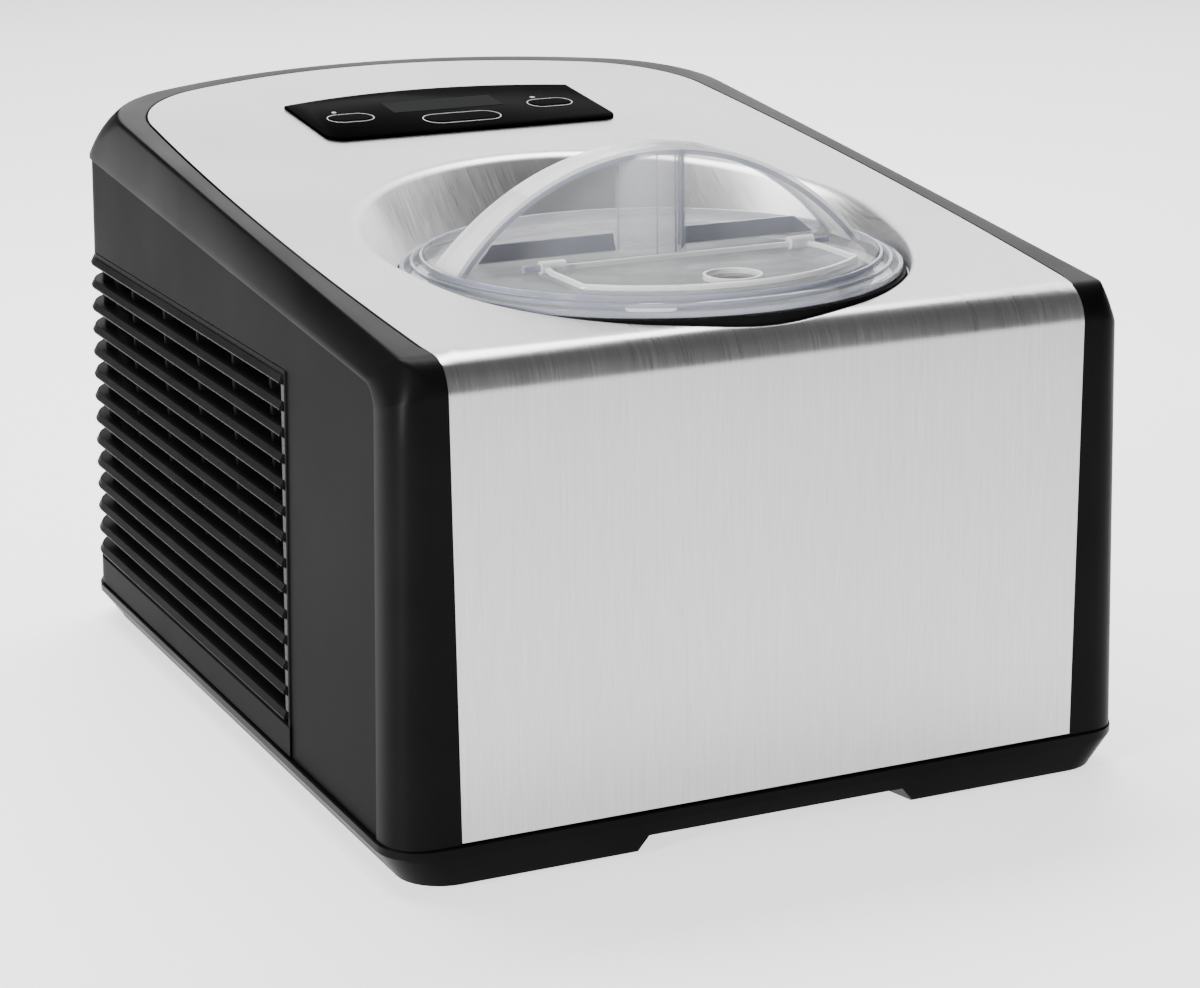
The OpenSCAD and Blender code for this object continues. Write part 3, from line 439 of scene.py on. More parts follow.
    @staticmethod
    def dress(obj: bpy.types.Object, material: bpy.types.Material, finish: Finish, body: str,
              *replaced: str) -> bpy.types.Object:
        """Gives a finished piece its material and body, and hides the CAD nodes that it stands for.

        Args:
            obj: The piece.
            material: Its material.
            finish: The record's slot; not used.
            body: The CAD body that it moves with.
            replaced: CAD nodes that it stands for.

        Returns:
            The piece.
        """
        obj.data.materials.clear()
        obj.data.materials.append(material)
        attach(obj, body)
        if replaced:
            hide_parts(*replaced)
        LOG.info("%s: %d faces", obj.name, len(obj.data.polygons))
        return obj


# Finishes ------------------------------------------------------------------------------------


class Nodes:
    """A small helper for building node trees."""

    def __init__(self, name: str) -> None:
        """Starts a material of that name with one Principled shader."""
        self.material = bpy.data.materials.new(name)
        self.material.use_nodes = True
        self.tree = self.material.node_tree
        self.tree.nodes.clear()
        self.out = self.tree.nodes.new("ShaderNodeOutputMaterial")
        self.shader = self.tree.nodes.new("ShaderNodeBsdfPrincipled")
        self.link(self.shader, "BSDF", self.out, "Surface")
        self.coords = self.tree.nodes.new("ShaderNodeTexCoord")

    def link(self, a: bpy.types.Node, a_out: str | int, b: bpy.types.Node, b_in: str | int) -> None:
        """Links one node's output to another's input."""
        self.tree.links.new(a.outputs[a_out], b.inputs[b_in])

    def set(self, **values: object) -> None:
        """Sets constants on the shader's own sockets; an underscore stands for a space."""
        for key, value in values.items():
            self.shader.inputs[key.replace("_", " ")].default_value = value

    def noise(self, scale: Point, size: float = 1.0, detail: float = 2.0,
              rough: float = 0.5) -> bpy.types.Node:
        """Noise on Object coordinates.

        Args:
            scale: Stretch along each axis.
            size: The noise's own scale.
            detail: How many finer layers it has.
            rough: How strong the finer layers are.

        Returns:
            The noise node.
        """
        mapping = self.tree.nodes.new("ShaderNodeMapping")
        mapping.inputs["Scale"].default_value = scale
        self.link(self.coords, "Object", mapping, "Vector")
        node = self.tree.nodes.new("ShaderNodeTexNoise")
        node.inputs["Scale"].default_value = size
        node.inputs["Detail"].default_value = detail
        node.inputs["Roughness"].default_value = rough
        self.link(mapping, "Vector", node, "Vector")
        return node

    def remap(self, source: bpy.types.Node, low: float, high: float, from_low: float = 0.3,
              from_high: float = 0.7) -> bpy.types.Node:
        """Maps a noise's middle range onto low to high."""
        node = self.tree.nodes.new("ShaderNodeMapRange")
        node.inputs["From Min"].default_value = from_low
        node.inputs["From Max"].default_value = from_high
        node.inputs["To Min"].default_value = low
        node.inputs["To Max"].default_value = high
        self.link(source, 0, node, "Value")
        return node

    def tint(self, source: bpy.types.Node, dark: Point, light: Point) -> bpy.types.Node:
        """A colour ramp between two colours, driven by a value."""
        ramp = self.tree.nodes.new("ShaderNodeValToRGB")
        ramp.color_ramp.elements[0].position = 0.3
        ramp.color_ramp.elements[0].color = (*dark, 1)
        ramp.color_ramp.elements[1].position = 0.7
        ramp.color_ramp.elements[1].color = (*light, 1)
        self.link(source, 0, ramp, "Fac")
        return ramp

    def bump(self, source: bpy.types.Node, strength: float, distance: float) -> None:
        """Lets a value raise and lower the surface's shading."""
        node = self.tree.nodes.new("ShaderNodeBump")
        node.inputs["Strength"].default_value = strength
        node.inputs["Distance"].default_value = distance
        self.link(source, 0, node, "Height")
        self.link(node, "Normal", self.shader, "Normal")


@dataclass(frozen=True)
class BrushedSteel:
    """Stainless sheet with its grain running from the back of the top down the front."""

    name: str = "brushed_stainless"
    dark: Point = (0.46, 0.46, 0.465)
    light: Point = (0.55, 0.55, 0.555)

    def build(self) -> bpy.types.Material:
        """Makes the material."""
        n = Nodes(self.name)
        grain = n.noise((1500, 45, 45), 1.0, 4.0, 0.65)
        cloud = n.noise((14, 14, 14), 1.0, 2.0, 0.5)
        n.link(n.tint(grain, self.dark, self.light), "Color", n.shader, "Base Color")
        blend = n.tree.nodes.new("ShaderNodeMath")
        blend.operation = "ADD"
        n.link(n.remap(grain, -0.05, 0.05), 0, blend, 0)
        n.link(n.remap(cloud, 0.30, 0.36), 0, blend, 1)
        n.link(blend, 0, n.shader, "Roughness")
        n.set(Metallic=1.0, Anisotropic=0.75, Anisotropic_Rotation=0.25)
        tangent = n.tree.nodes.new("ShaderNodeTangent")
        tangent.direction_type = "RADIAL"
        tangent.axis = "X"
        n.link(tangent, "Tangent", n.shader, "Tangent")
        n.bump(grain, 0.12, 0.0002)
        return n.material


@dataclass(frozen=True)
class MouldedPlastic:
    """Moulded plastic with a fine spark-eroded grain."""

    name: str
    colour: Point
    roughness: float = 0.42
    grain: float = 0.12
    spread: float = 0.25
    coat: float = 0.0
    shine: float = 0.5

    def build(self) -> bpy.types.Material:
        """Makes the material."""
        n = Nodes(self.name)
        fine = n.noise((1400, 1400, 1400), 1.0, 2.0, 0.5)
        cloud = n.noise((20, 20, 20), 1.0, 3.0, 0.5)
        dark = tuple(c * (1 - self.spread) for c in self.colour)
        light = tuple(c * (1 + self.spread) for c in self.colour)
        n.link(n.tint(cloud, dark, light), "Color", n.shader, "Base Color")
        n.link(n.remap(cloud, self.roughness - 0.04, self.roughness + 0.04), 0, n.shader, "Roughness")
        n.set(Coat_Weight=self.coat, Coat_Roughness=0.08, Specular_IOR_Level=self.shine)
        n.bump(fine, self.grain, 0.0001)
        return n.material


@dataclass(frozen=True)
class PlainMetal:
    """A metal with slight blotches and a fine tooth."""

    name: str
    colour: Point
    roughness: float = 0.3
    stretch: Point = (300, 300, 300)

    def build(self) -> bpy.types.Material:
        """Makes the material."""
        n = Nodes(self.name)
        tooth = n.noise(self.stretch, 1.0, 3.0, 0.6)
        dark = tuple(c * 0.86 for c in self.colour)
        n.link(n.tint(tooth, dark, self.colour), "Color", n.shader, "Base Color")
        n.link(n.remap(tooth, self.roughness - 0.05, self.roughness + 0.06), 0, n.shader, "Roughness")
        n.set(Metallic=1.0)
        n.bump(tooth, 0.08, 0.0002)
        return n.material


@dataclass(frozen=True)
class ClearPlastic:
    """Thin clear moulded plastic: a film that whitens or darkens what lies behind it."""

    name: str
    colour: Point
    cover: float
    roughness: float = 0.06
    shine: float = 0.5

    def build(self) -> bpy.types.Material:
        """Makes the material."""
        n = Nodes(self.name)
        flow = n.noise((30, 30, 30), 1.0, 2.0, 0.5)
        dark = tuple(c * 0.96 for c in self.colour)
        n.link(n.tint(flow, dark, self.colour), "Color", n.shader, "Base Color")
        n.link(n.remap(flow, self.roughness * 0.6, self.roughness * 1.4), 0, n.shader, "Roughness")
        n.link(n.remap(flow, self.cover * 0.9, self.cover * 1.1), 0, n.shader, "Alpha")
        n.set(IOR=1.49, Specular_IOR_Level=self.shine)
        n.bump(flow, 0.03, 0.0006)
        return n.material


class Palette:
    """Every material of the machine, made once."""

    def __init__(self) -> None:
        """Builds the materials."""
        self.steel = BrushedSteel().build()
        # Blacks: the outer shell, its inset walls, louvres, end blocks, and a near-black painted shade for
        # the sheet behind the louvres
        self.shell = self.moulded("black_moulded_shell", (0.0035, 0.0035, 0.0037), 0.36, 0.10, shine=0.035)
        self.wall = self.moulded("black_moulded_wall", (0.006, 0.006, 0.0062), 0.42, shine=0.008)
        self.louvre = self.moulded("black_moulded_louvre", (0.010, 0.010, 0.0104), 0.4, 0.05, shine=0.02)
        self.block = self.moulded("black_moulded_block", (0.045, 0.045, 0.047), 0.5, 0.1, shine=0.05)
        # Near black and all but unreflecting: painted shade for the sheet behind the louvres
        self.inside = self.moulded("black_painted_shade_face", (0.001, 0.001, 0.001), 0.7, 0.05, shine=0.001)
        self.gloss = self.moulded("gloss_black_panel", (0.0008, 0.0008, 0.0008), 0.2, 0.01, 0.1, shine=0.0004)
        self.display = self.moulded("unlit_display", (0.018, 0.019, 0.0185), 0.35, 0.01, 0.1, shine=0.0004)
        self.rubber = self.moulded("soft_black_rubber", (0.004, 0.004, 0.004), 0.62, 0.2, shine=0.04)
        self.print = self.moulded("light_grey_print", (0.42, 0.42, 0.43), 0.45, 0.02, 0.1)
        self.enamel = self.moulded("black_stove_enamel", (0.012, 0.012, 0.014), 0.22, 0.04, 0.2, 0.4)
        # Inner parts
        self.grey = self.moulded("grey_filled_plastic", (0.06, 0.06, 0.065), 0.5, 0.2)
        self.white = self.moulded("white_acetal", (0.78, 0.78, 0.75), 0.35, 0.05, 0.04)
        self.foam = self.moulded("blown_foam", (0.72, 0.66, 0.48), 0.85, 0.6, 0.15)
        self.board = self.moulded("green_circuit_board", (0.02, 0.14, 0.06), 0.35, 0.1, 0.3)
        self.cable = self.moulded("red_wire_sleeve", (0.22, 0.02, 0.02), 0.45, 0.1, 0.2)
        self.aluminium = PlainMetal("spun_aluminium", (0.72, 0.73, 0.74), 0.34, (60, 60, 900)).build()
        self.copper = PlainMetal("drawn_copper", (0.78, 0.42, 0.26), 0.25, (200, 200, 200)).build()
        self.zinc = PlainMetal("zinc_plated_steel", (0.5, 0.5, 0.52), 0.32).build()
        self.ground = PlainMetal("ground_steel", (0.62, 0.62, 0.64), 0.2, (900, 900, 120)).build()
        # Clear plastic: thin faces in a faint whitish film; the arch's band and the flap's lip in near-opaque
        # white, a painted highlight; thick edges in dark bluish grey and the step behind the web in near
        # black, both painted shade
        self.clear = ClearPlastic("clear_film", (0.90, 0.91, 0.95), 0.13).build()
        # Near-opaque white: painted highlight on the arch's band and the flap's lip
        self.bright = ClearPlastic("clear_band_painted_highlight", (1.0, 1.0, 1.0), 0.66, 0.12).build()
        # Dark bluish grey at high cover: painted shade on thick clear edges
        self.blue = ClearPlastic("clear_edge_painted_shade", (0.36, 0.38, 0.48), 0.62).build()
        # Near black at high cover: painted shade for the stripe along the web's foot
        self.deep = ClearPlastic("clear_step_painted_shade", (0.07, 0.08, 0.14), 0.72).build()

    @staticmethod
    def moulded(name: str, colour: Point, roughness: float, grain: float = 0.12, spread: float = 0.25,
                coat: float = 0.0, shine: float = 0.5) -> bpy.types.Material:
        """Makes one moulded plastic from its finish's values."""
        return MouldedPlastic(name, colour, roughness, grain, spread, coat, shine).build()

    def by_slot(self) -> dict[Finish, bpy.types.Material]:
        """The material for each of the record's slots."""
        return {
            Finish.SHELL: self.shell, Finish.GLOSS: self.gloss, Finish.STEEL: self.steel,
            Finish.RUBBER: self.rubber, Finish.ALUMINIUM: self.aluminium, Finish.COPPER: self.copper,
            Finish.FOAM: self.foam, Finish.GREY: self.grey, Finish.WHITE: self.white,
            Finish.MOTOR: self.zinc, Finish.ENAMEL: self.enamel, Finish.CLEAR: self.clear,
            Finish.DISPLAY: self.display, Finish.BOARD: self.board, Finish.SHAFT: self.ground,
            Finish.CABLE: self.cable,
        }


# Pieces --------------------------------------------------------------------------------------


@dataclass
class BaseTray:
    """The tray under the machine, with its tucked lower edge and front notch."""

    lay: Layout
    tuck: float = 8 * MM
    low: float = 2 * MM
    notch_half: float = 54 * MM
    notch_h: float = 6 * MM
    notch_run: float = 4.5 * MM

    def outline(self, d: float, sides: float, front: float) -> list[Flat]:
        """One level's outline, with points at the notch's corners."""
        lay = self.lay
        plan = Plan(lay.half_w - sides - d, lay.front + front + d, lay.back - sides - d,
                    18 * MM - d * 0.5, 28 * MM - d * 0.5, 420 * MM, taper=lay.taper)
        ring = plan.around()
        stops = [-self.notch_half - self.notch_run, -self.notch_half, -self.notch_half * 0.5, 0,
                 self.notch_half * 0.5, self.notch_half, self.notch_half + self.notch_run]
        y = ring[0][1]
        return ring + [(x, y) for x in stops]

    def lift(self, x: float, y: float, z: float) -> float:
        """Raises the lower edge inside the notch."""
        if y > self.lay.front + 14 * MM:
            return z
        over = (self.notch_half + self.notch_run - abs(x)) / self.notch_run
        top = self.low + self.notch_h * min(max(over, 0.0), 1.0)
        return max(z, top)

    def build(self) -> bpy.types.Object:
        """Models the tray.

        Returns:
            The tray's mesh.
        """
        h = self.lay.base_h
        levels = [(24 * MM, self.tuck, 1.5 * MM, self.low), (1.4 * MM, self.tuck, 1.5 * MM, self.low),
                  (0.4 * MM, self.tuck, 1.5 * MM, self.low + 0.4 * MM),
                  (0.0, self.tuck, 1.5 * MM, self.low + 1.4 * MM),
                  (0.0, self.tuck * 0.12, 0.1 * MM, h - 4.6 * MM), (0.0, 0.0, 0.0, h - 3.4 * MM),
                  (0.0, 0.0, 0.0, h - 0.5 * MM), (0.5 * MM, 0.0, 0.0, h), (3.2 * MM, 0.0, 0.0, h),
                  (3.4 * MM, 0.0, 0.0, h - 6 * MM)]
        rows = []
        for d, sides, front, z in levels:
            ring = self.outline(d, sides, front)
            rows.append([(x, y, self.lift(x, y, z) if z < h * 0.6 else z) for x, y in ring])
        obj = Bench.sheet("base_tray_shell", rows, closed=True)
        Bench.cap(obj)
        Bench.smooth(obj, 28)
        return obj

    def dress(self, palette: Palette) -> None:
        """Builds the tray and gives it its finish."""
        Bench.dress(self.build(), palette.shell, Finish.SHELL, "body", "base_tray")


@dataclass
class Housing:
    """The moulded black shell: rim, shoulders, upright corners and side walls."""

    lay: Layout
    gap: float = 0.9 * MM
    edge_r: float = 18 * MM
    corner_r: float = 10 * MM
    front_steps: int = 10
    bend_steps: int = 14
    panel_step: float = 0.9 * MM
    corner_from: float = 130 * MM
    corner_pivot: float = 100 * MM

    def stations(self) -> list[tuple[Point, Point, Point, Point, float, Point]]:
        """Cross-sections along the right half of the rim, from the bottom of the front to the back.

        Returns:
            For each station the steel edge, rim edge, crease, the corner that the shoulder
            bulges towards, how far it bulges, and the direction in which the wall goes on.
        """
        lay = self.lay
        steel, rim = lay.steel_plan(-self.gap).right(), lay.rim_plan().right()
        body, foot = lay.body_plan(0, lay.front_h).right(), lay.body_plan().right()
        first = next(i for i, p in enumerate(steel) if p[1] > lay.bend[0] + 2 * MM)
        by, bz = lay.bend
        inner_x = steel[0][0]
        edge_x = lay.half_w - lay.base_lip - self.edge_r - 1.0 * MM
        wall_y = lay.face_y + self.edge_r
        squeeze = lay.body_plan().squeeze(wall_y)

        def wall_x(z: float) -> float:
            return (lay.half_w - lay.base_lip - lay.lean_at(z)) * squeeze

        low = lay.base_h + 0.2 * MM
        arc_y, arc_z = wall_y + self.corner_r, lay.crease_z(wall_y + self.corner_r) - self.corner_r
        out = []
        for i in range(self.front_steps):
            z = low + (bz - low) * i / self.front_steps
            zc = low + (arc_z - low) * i / self.front_steps
            down = lay.front_in * (1 - i / self.front_steps)
            out.append(((inner_x - down, lay.face_y, z), (edge_x + down, lay.face_y, z),
                        (wall_x(zc), wall_y, zc), (wall_x(z), lay.face_y, z), 1.0, (0, 1, 0)))
        rim_x = next(p[0] for p in rim[9:])
        for i in range(self.bend_steps + 1):
            t = i / self.bend_steps
            a = math.radians(180 - (90 - math.degrees(lay.slope)) * t)
            y, z = by + lay.bend_r * math.cos(a), bz + lay.bend_r * math.sin(a)
            q = math.radians(90 * t)
            cz = arc_z + self.corner_r * math.sin(q)
            c = (wall_x(cz), arc_y - self.corner_r * math.cos(q), cz)
            x = edge_x + (rim_x - edge_x) * (t * t * (3 - 2 * t))
            out.append(((inner_x, y, z), (x, y, z), c, (wall_x(z), y, z), 1.0 - 0.75 * t,
                        (0, math.cos(q), -math.sin(q))))
        for i in range(first, len(steel)):
            if i < first + 2 and rim[i][1] < by + 6 * MM:
                continue
            s, r = steel[i], rim[i]
            share = lay.lean_at(lay.crease_z(body[i][1])) / lay.lean_at(lay.front_h)
            b = mix(foot[i], body[i], share)
            if b[1] < arc_y + 1 * MM:
                continue
            out.append(((*s, lay.top_z(s[1])), (*r, lay.top_z(r[1])), (*b, lay.crease_z(b[1])),
                        (*b, lay.top_z(r[1])), 0.25, (0, 0, -1)))
        return out

    def cross(self, s: tuple[Point, Point, Point, Point, float, Point]) -> list[Point]:
        """The points of one cross-section, from inside the gap to just below the crease."""
        a, b, c, k, bulge, on = s
        lay = self.lay
        middle = (0.0, lay.bend[0], lay.bend[1])
        down = Vector((0, a[1] - middle[1], a[2] - middle[2]))
        if a[1] > lay.bend[0]:
            down = Vector((0, -math.sin(lay.slope), math.cos(lay.slope)))
        elif a[2] < lay.bend[1]:
            down = Vector((0, -1, 0))
        down.normalize()
        out = []
        inward = (Vector(a) - Vector(b)).normalized()
        out.append(tuple(Vector(a) - down * 3 * MM + inward * 3 * MM))
        out.append(tuple(Vector(a) - down * 3 * MM))
        out.append(tuple(Vector(a) - down * 0.4 * MM))
        out.append(tuple(Vector(a) - inward * 0.4 * MM))
        out.append(mix(a, b, 0.5))
        near = min(1.6 * MM / max((Vector(b) - Vector(a)).length, 1e-4), 0.4)
        lead = mix(b, a, near)
        out.append(lead)
        steps = 9
        shares = [j / steps for j in range(steps + 1)]
        shoulder = [mix(mix(b, c, t), bezier(b, k, c, t), bulge) for t in shares]
        soft = mix(b, shoulder[1], 0.5)
        out.append(bezier(lead, b, soft, 0.35))
        out.append(bezier(lead, b, soft, 0.7))
        out.append(soft)
        out += shoulder[1:]
        if c[1] < self.corner_from:
            normal = Vector((1 if c[0] > 0 else -1, 0, 0))
        else:
            normal = Vector((c[0], c[1] - self.corner_pivot, 0)).normalized()
        on = Vector(on)
        out.append(tuple(Vector(c) + on * 0.9 * MM))
        out.append(tuple(Vector(c) + on * 1.3 * MM - normal * self.panel_step * 0.6))
        out.append(tuple(Vector(c) + on * 1.6 * MM - normal * self.panel_step))
        return out

    def wall_top(self, y: float) -> float:
        """Top of the inset side wall at y."""
        lay = self.lay
        wall_y = lay.face_y + self.edge_r
        arc_y = wall_y + self.corner_r
        top = lay.crease_z(max(y, arc_y)) - 1.2 * MM
        if y < arc_y:
            top -= self.corner_r - math.sqrt(max(self.corner_r**2 - (arc_y - y) ** 2, 0))
        return top

    def build(self) -> list[bpy.types.Object]:
        """Models the shoulder band and the walls.

        Returns:
            The band, and the walls.
        """
        half = [self.cross(s) for s in self.stations()]
        full = half + [[(-x, y, z) for x, y, z in col] for col in reversed(half[:-1])]
        rows = [list(r) for r in zip(*full)]
        band = Bench.sheet("housing_band", rows)
        walls = Bench.join("housing_walls", self.walls())
        for obj, angle in ((band, 40), (walls, 30)):
            Bench.face_out(obj)
            Bench.modify(obj, "SOLIDIFY", thickness=2 * MM, offset=-1, use_even_offset=False)
            Bench.smooth(obj, angle)
        return [band, walls]

    def walls(self) -> list[bpy.types.Object]:
        """The inset side walls and the plain wall above the louvres."""
        lay = self.lay
        d = self.panel_step
        top = lay.base_h + 0.2 * MM
        parts = []
        start = lay.face_y + self.edge_r
        first, reach = start + 0.4 * MM, self.corner_r * 1.2
        ys = [first + reach * (1 - math.cos(math.pi / 2 * i / 8)) for i in range(9)]
        ys += [ys[-1] + (lay.seam - 0.3 * MM - ys[-1]) * i / 6 for i in range(1, 7)]
        for side in (1, -1):
            rows = []
            for j in range(7):
                row = []
                for y in ys:
                    z = top + (self.wall_top(y) - top) * j / 6
                    plan = lay.body_plan(d, z)
                    row.append((side * plan.half_w * plan.squeeze(y), y, z))
                rows.append(row)
            parts.append(Bench.sheet("side_wall", rows))
        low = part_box("rear_cover")[1].z + 0.3 * MM
        seam = lay.seam - 0.3 * MM
        rows = []
        for j in range(5):
            row = []
            for x, y in self.ring(seam, d, low):
                z = low + (lay.crease_z(y) - 1.2 * MM - low) * j / 4
                row.append((x * self.drawn(z) / self.drawn(low), y, z))
            rows.append(row)
        parts.append(Bench.sheet("hood_wall", rows))
        return parts

    def drawn(self, z: float) -> float:
        """Half width of the walls at height z."""
        return self.lay.half_w - self.lay.base_lip - self.lay.lean_at(z)

    def ring(self, start: float, d: float, z: float) -> list[Flat]:
        """The walls' outline behind a place, drawn in by d, at height z."""
        plan = self.lay.body_plan(d, z)
        x = plan.half_w * plan.squeeze(start)
        return [(x, start), *(p for p in plan.around() if p[1] > start), (-x, start)]

    def dress(self, palette: Palette) -> None:
        """Builds the housing and gives it its finish."""
        band, walls = self.build()
        Bench.dress(band, palette.shell, Finish.SHELL, "body", "housing")
        Bench.dress(walls, palette.wall, Finish.SHELL, "body")


@dataclass
class RearCover:
    """The louvred shell that wraps the back corners."""

    lay: Layout
    fins: int = 14
    fin_t: float = 2.6 * MM
    deep: float = 10 * MM
    low: float = 33 * MM
    high: float = 166 * MM

    def path(self, d: float, start: float, z: float) -> list[Flat]:
        """The U-shaped line round the back at height z, from the right seam to the left.

        Args:
            d: How far the line is drawn in.
            start: Where it starts and ends, in y.
            z: Its height.

        Returns:
            The line's points.
        """
        plan = self.lay.body_plan(d, z)
        x = plan.half_w * plan.squeeze(start)
        return [(x, start), *(p for p in plan.around() if p[1] > start), (-x, start)]

    def strip(self, name: str, profile: Sequence[Flat], start: float) -> bpy.types.Object:
        """A bar of constant profile along the U-shaped line.

        Args:
            name: The new object's name.
            profile: Closed profile of (inset, height) points.
            start: Where the bar starts, in y.

        Returns:
            The bar, closed at its ends.
        """
        rows = [[(x, y, z) for x, y in self.path(d, start, z)] for d, z in profile]
        obj = Bench.sheet(name, rows + [rows[0]])
        Bench.weld(obj, 1e-6)
        Bench.cap(obj)
        return obj

    def fin(self, z: float) -> bpy.types.Object:
        """One louvre fin, sloping down outwards, with a rounded lip."""
        out = -0.9 * MM
        profile = [(out + 0.3 * MM, z - 0.9 * MM), (out, z - 0.2 * MM), (out + 1.3 * MM, z + 2.3 * MM),
                   (out + 2.2 * MM, z + 2.6 * MM), (self.deep, z + 2.2 * MM), (self.deep, z + 0.2 * MM),
                   (out + 2.2 * MM, z - 0.8 * MM)]
        return self.strip("louvre", profile, self.lay.seam + 4.6 * MM)

    def build(self) -> list[bpy.types.Object]:
        """Models the fins, bands, ribs, end blocks and a near-black sheet behind them, painted shade that
        darkens the gaps between the fins.

        Returns:
            The louvres, the frame that carries them, the blocks and the painted shade sheet.
        """
        lay = self.lay
        seam = lay.seam
        pitch = (self.high - self.low) / (self.fins - 1)
        fins = [self.fin(self.low + i * pitch) for i in range(self.fins)]
        louvres = Bench.join("louvres", fins)
        Bench.smooth(louvres, 40)
        low = lay.base_h + 0.2 * MM
        sill = [(0.5 * MM, low), (0.0, low + 0.5 * MM), (0.0, self.low - 3.2 * MM),
                (0.8 * MM, self.low - 2.4 * MM), (self.deep, self.low - 1.4 * MM), (self.deep, low)]
        band = self.strip("lower_band", sill, seam)
        rail_z = self.high + self.fin_t
        lintel = [(0.9 * MM, rail_z - 1.2 * MM), (0.9 * MM, rail_z + 1.9 * MM),
                  (self.deep, rail_z + 1.9 * MM), (self.deep, rail_z + 0.4 * MM), (2 * MM, rail_z + 0.2 * MM)]
        rail = self.strip("upper_rail", lintel, seam)
        parts = [band, rail]
        blocks = [self.block(side, self.low + i * pitch, pitch)
                  for side in (1, -1) for i in range(self.fins - 1)]
        ends = Bench.join("louvre_end_blocks", blocks)
        # A sheet behind the fins in near black: painted shade inside the louvre gaps
        sheet = [(12.4 * MM, low), (12.4 * MM, rail_z), (11.8 * MM, rail_z), (11.8 * MM, low)]
        shade_screen = self.strip("painted_shade_screen", sheet, seam + 8 * MM)
        for side in (1, -1):
            for i in range(6):
                y = seam + 26 * MM + i * 46 * MM
                x = side * (self.wall_at(y, self.high) - self.deep + 4.5 * MM)
                parts.append(self.rib(x, y, 2.6 * MM, 2.2 * MM))
            parts.append(self.end_post(side))
        for x in (-0.108, -0.072, -0.036, 0, 0.036, 0.072, 0.108):
            parts.append(self.rib(x, lay.back - self.deep - 1.5 * MM - x * x / 0.84, 2.2 * MM, 2.6 * MM))
        frame = Bench.join("rear_cover_frame", parts)
        Bench.smooth(frame, 30)
        return [louvres, frame, ends, shade_screen]

    def block(self, side: int, z: float, pitch: float) -> bpy.types.Object:
        """One tapered block between two fins at their front end."""
        y = self.lay.seam + 1.4 * MM
        reach = self.wall_at(y, z + pitch / 2)
        outline = [(reach - 6 * MM, y), (reach - 0.3 * MM, y), (reach - 0.3 * MM, y + 3.4 * MM),
                   (reach - 3 * MM, y + 7.5 * MM), (reach - 6 * MM, y + 7.5 * MM)]
        if side < 0:
            outline.reverse()
        return Bench.prism("block", outline, z + 2.8 * MM, z + pitch - 1.1 * MM,
                           lambda px, py, h: (side * px, py, h))

    def wall_at(self, y: float, z: float) -> float:
        """Half width of the wall at y and height z."""
        plan = self.lay.body_plan(0, z)
        return plan.half_w * plan.squeeze(y)

    def rib(self, x: float, y: float, wx: float, wy: float) -> bpy.types.Object:
        """One upright rib behind the fins."""
        outline = [(x - wx, y - wy / 2), (x + wx, y - wy / 2), (x + wx, y + wy / 2), (x - wx, y + wy / 2)]
        obj = Bench.prism("rib", outline, self.low - 4 * MM, self.high + 3 * MM,
                          lambda px, py, h: (px, py, h))
        Bench.bevel(obj, 0.4 * MM, 1)
        return obj

    def end_post(self, side: int) -> bpy.types.Object:
        """The upright post at the front end of the louvres, with its tapered blocks."""
        lay = self.lay
        seam = lay.seam
        low, high = lay.base_h + 0.4 * MM, self.high + self.fin_t + 1.6 * MM

        def place(px: float, py: float, h: float) -> Point:
            return side * (self.wall_at(seam, h) + px), py, h

        outline = [(-9 * MM, seam), (-0.2 * MM, seam), (-0.2 * MM, seam + 1.6 * MM),
                   (-3.6 * MM, seam + 9 * MM), (-9 * MM, seam + 9 * MM)]
        if side < 0:
            outline.reverse()
        obj = Bench.prism("end_post", outline, low, high, place)
        Bench.bevel(obj, 0.3 * MM, 2)
        return obj

    def dress(self, palette: Palette) -> None:
        """Builds the rear cover and gives it its finish."""
        louvres, frame, ends, shade_screen = self.build()
        Bench.dress(louvres, palette.louvre, Finish.SHELL, "body", "rear_cover")
        Bench.dress(frame, palette.wall, Finish.SHELL, "body")
        Bench.dress(ends, palette.block, Finish.SHELL, "body")
        # The sheet behind the louvres takes the near-black painted shade
        Bench.dress(shade_screen, palette.inside, Finish.SHELL, "body")


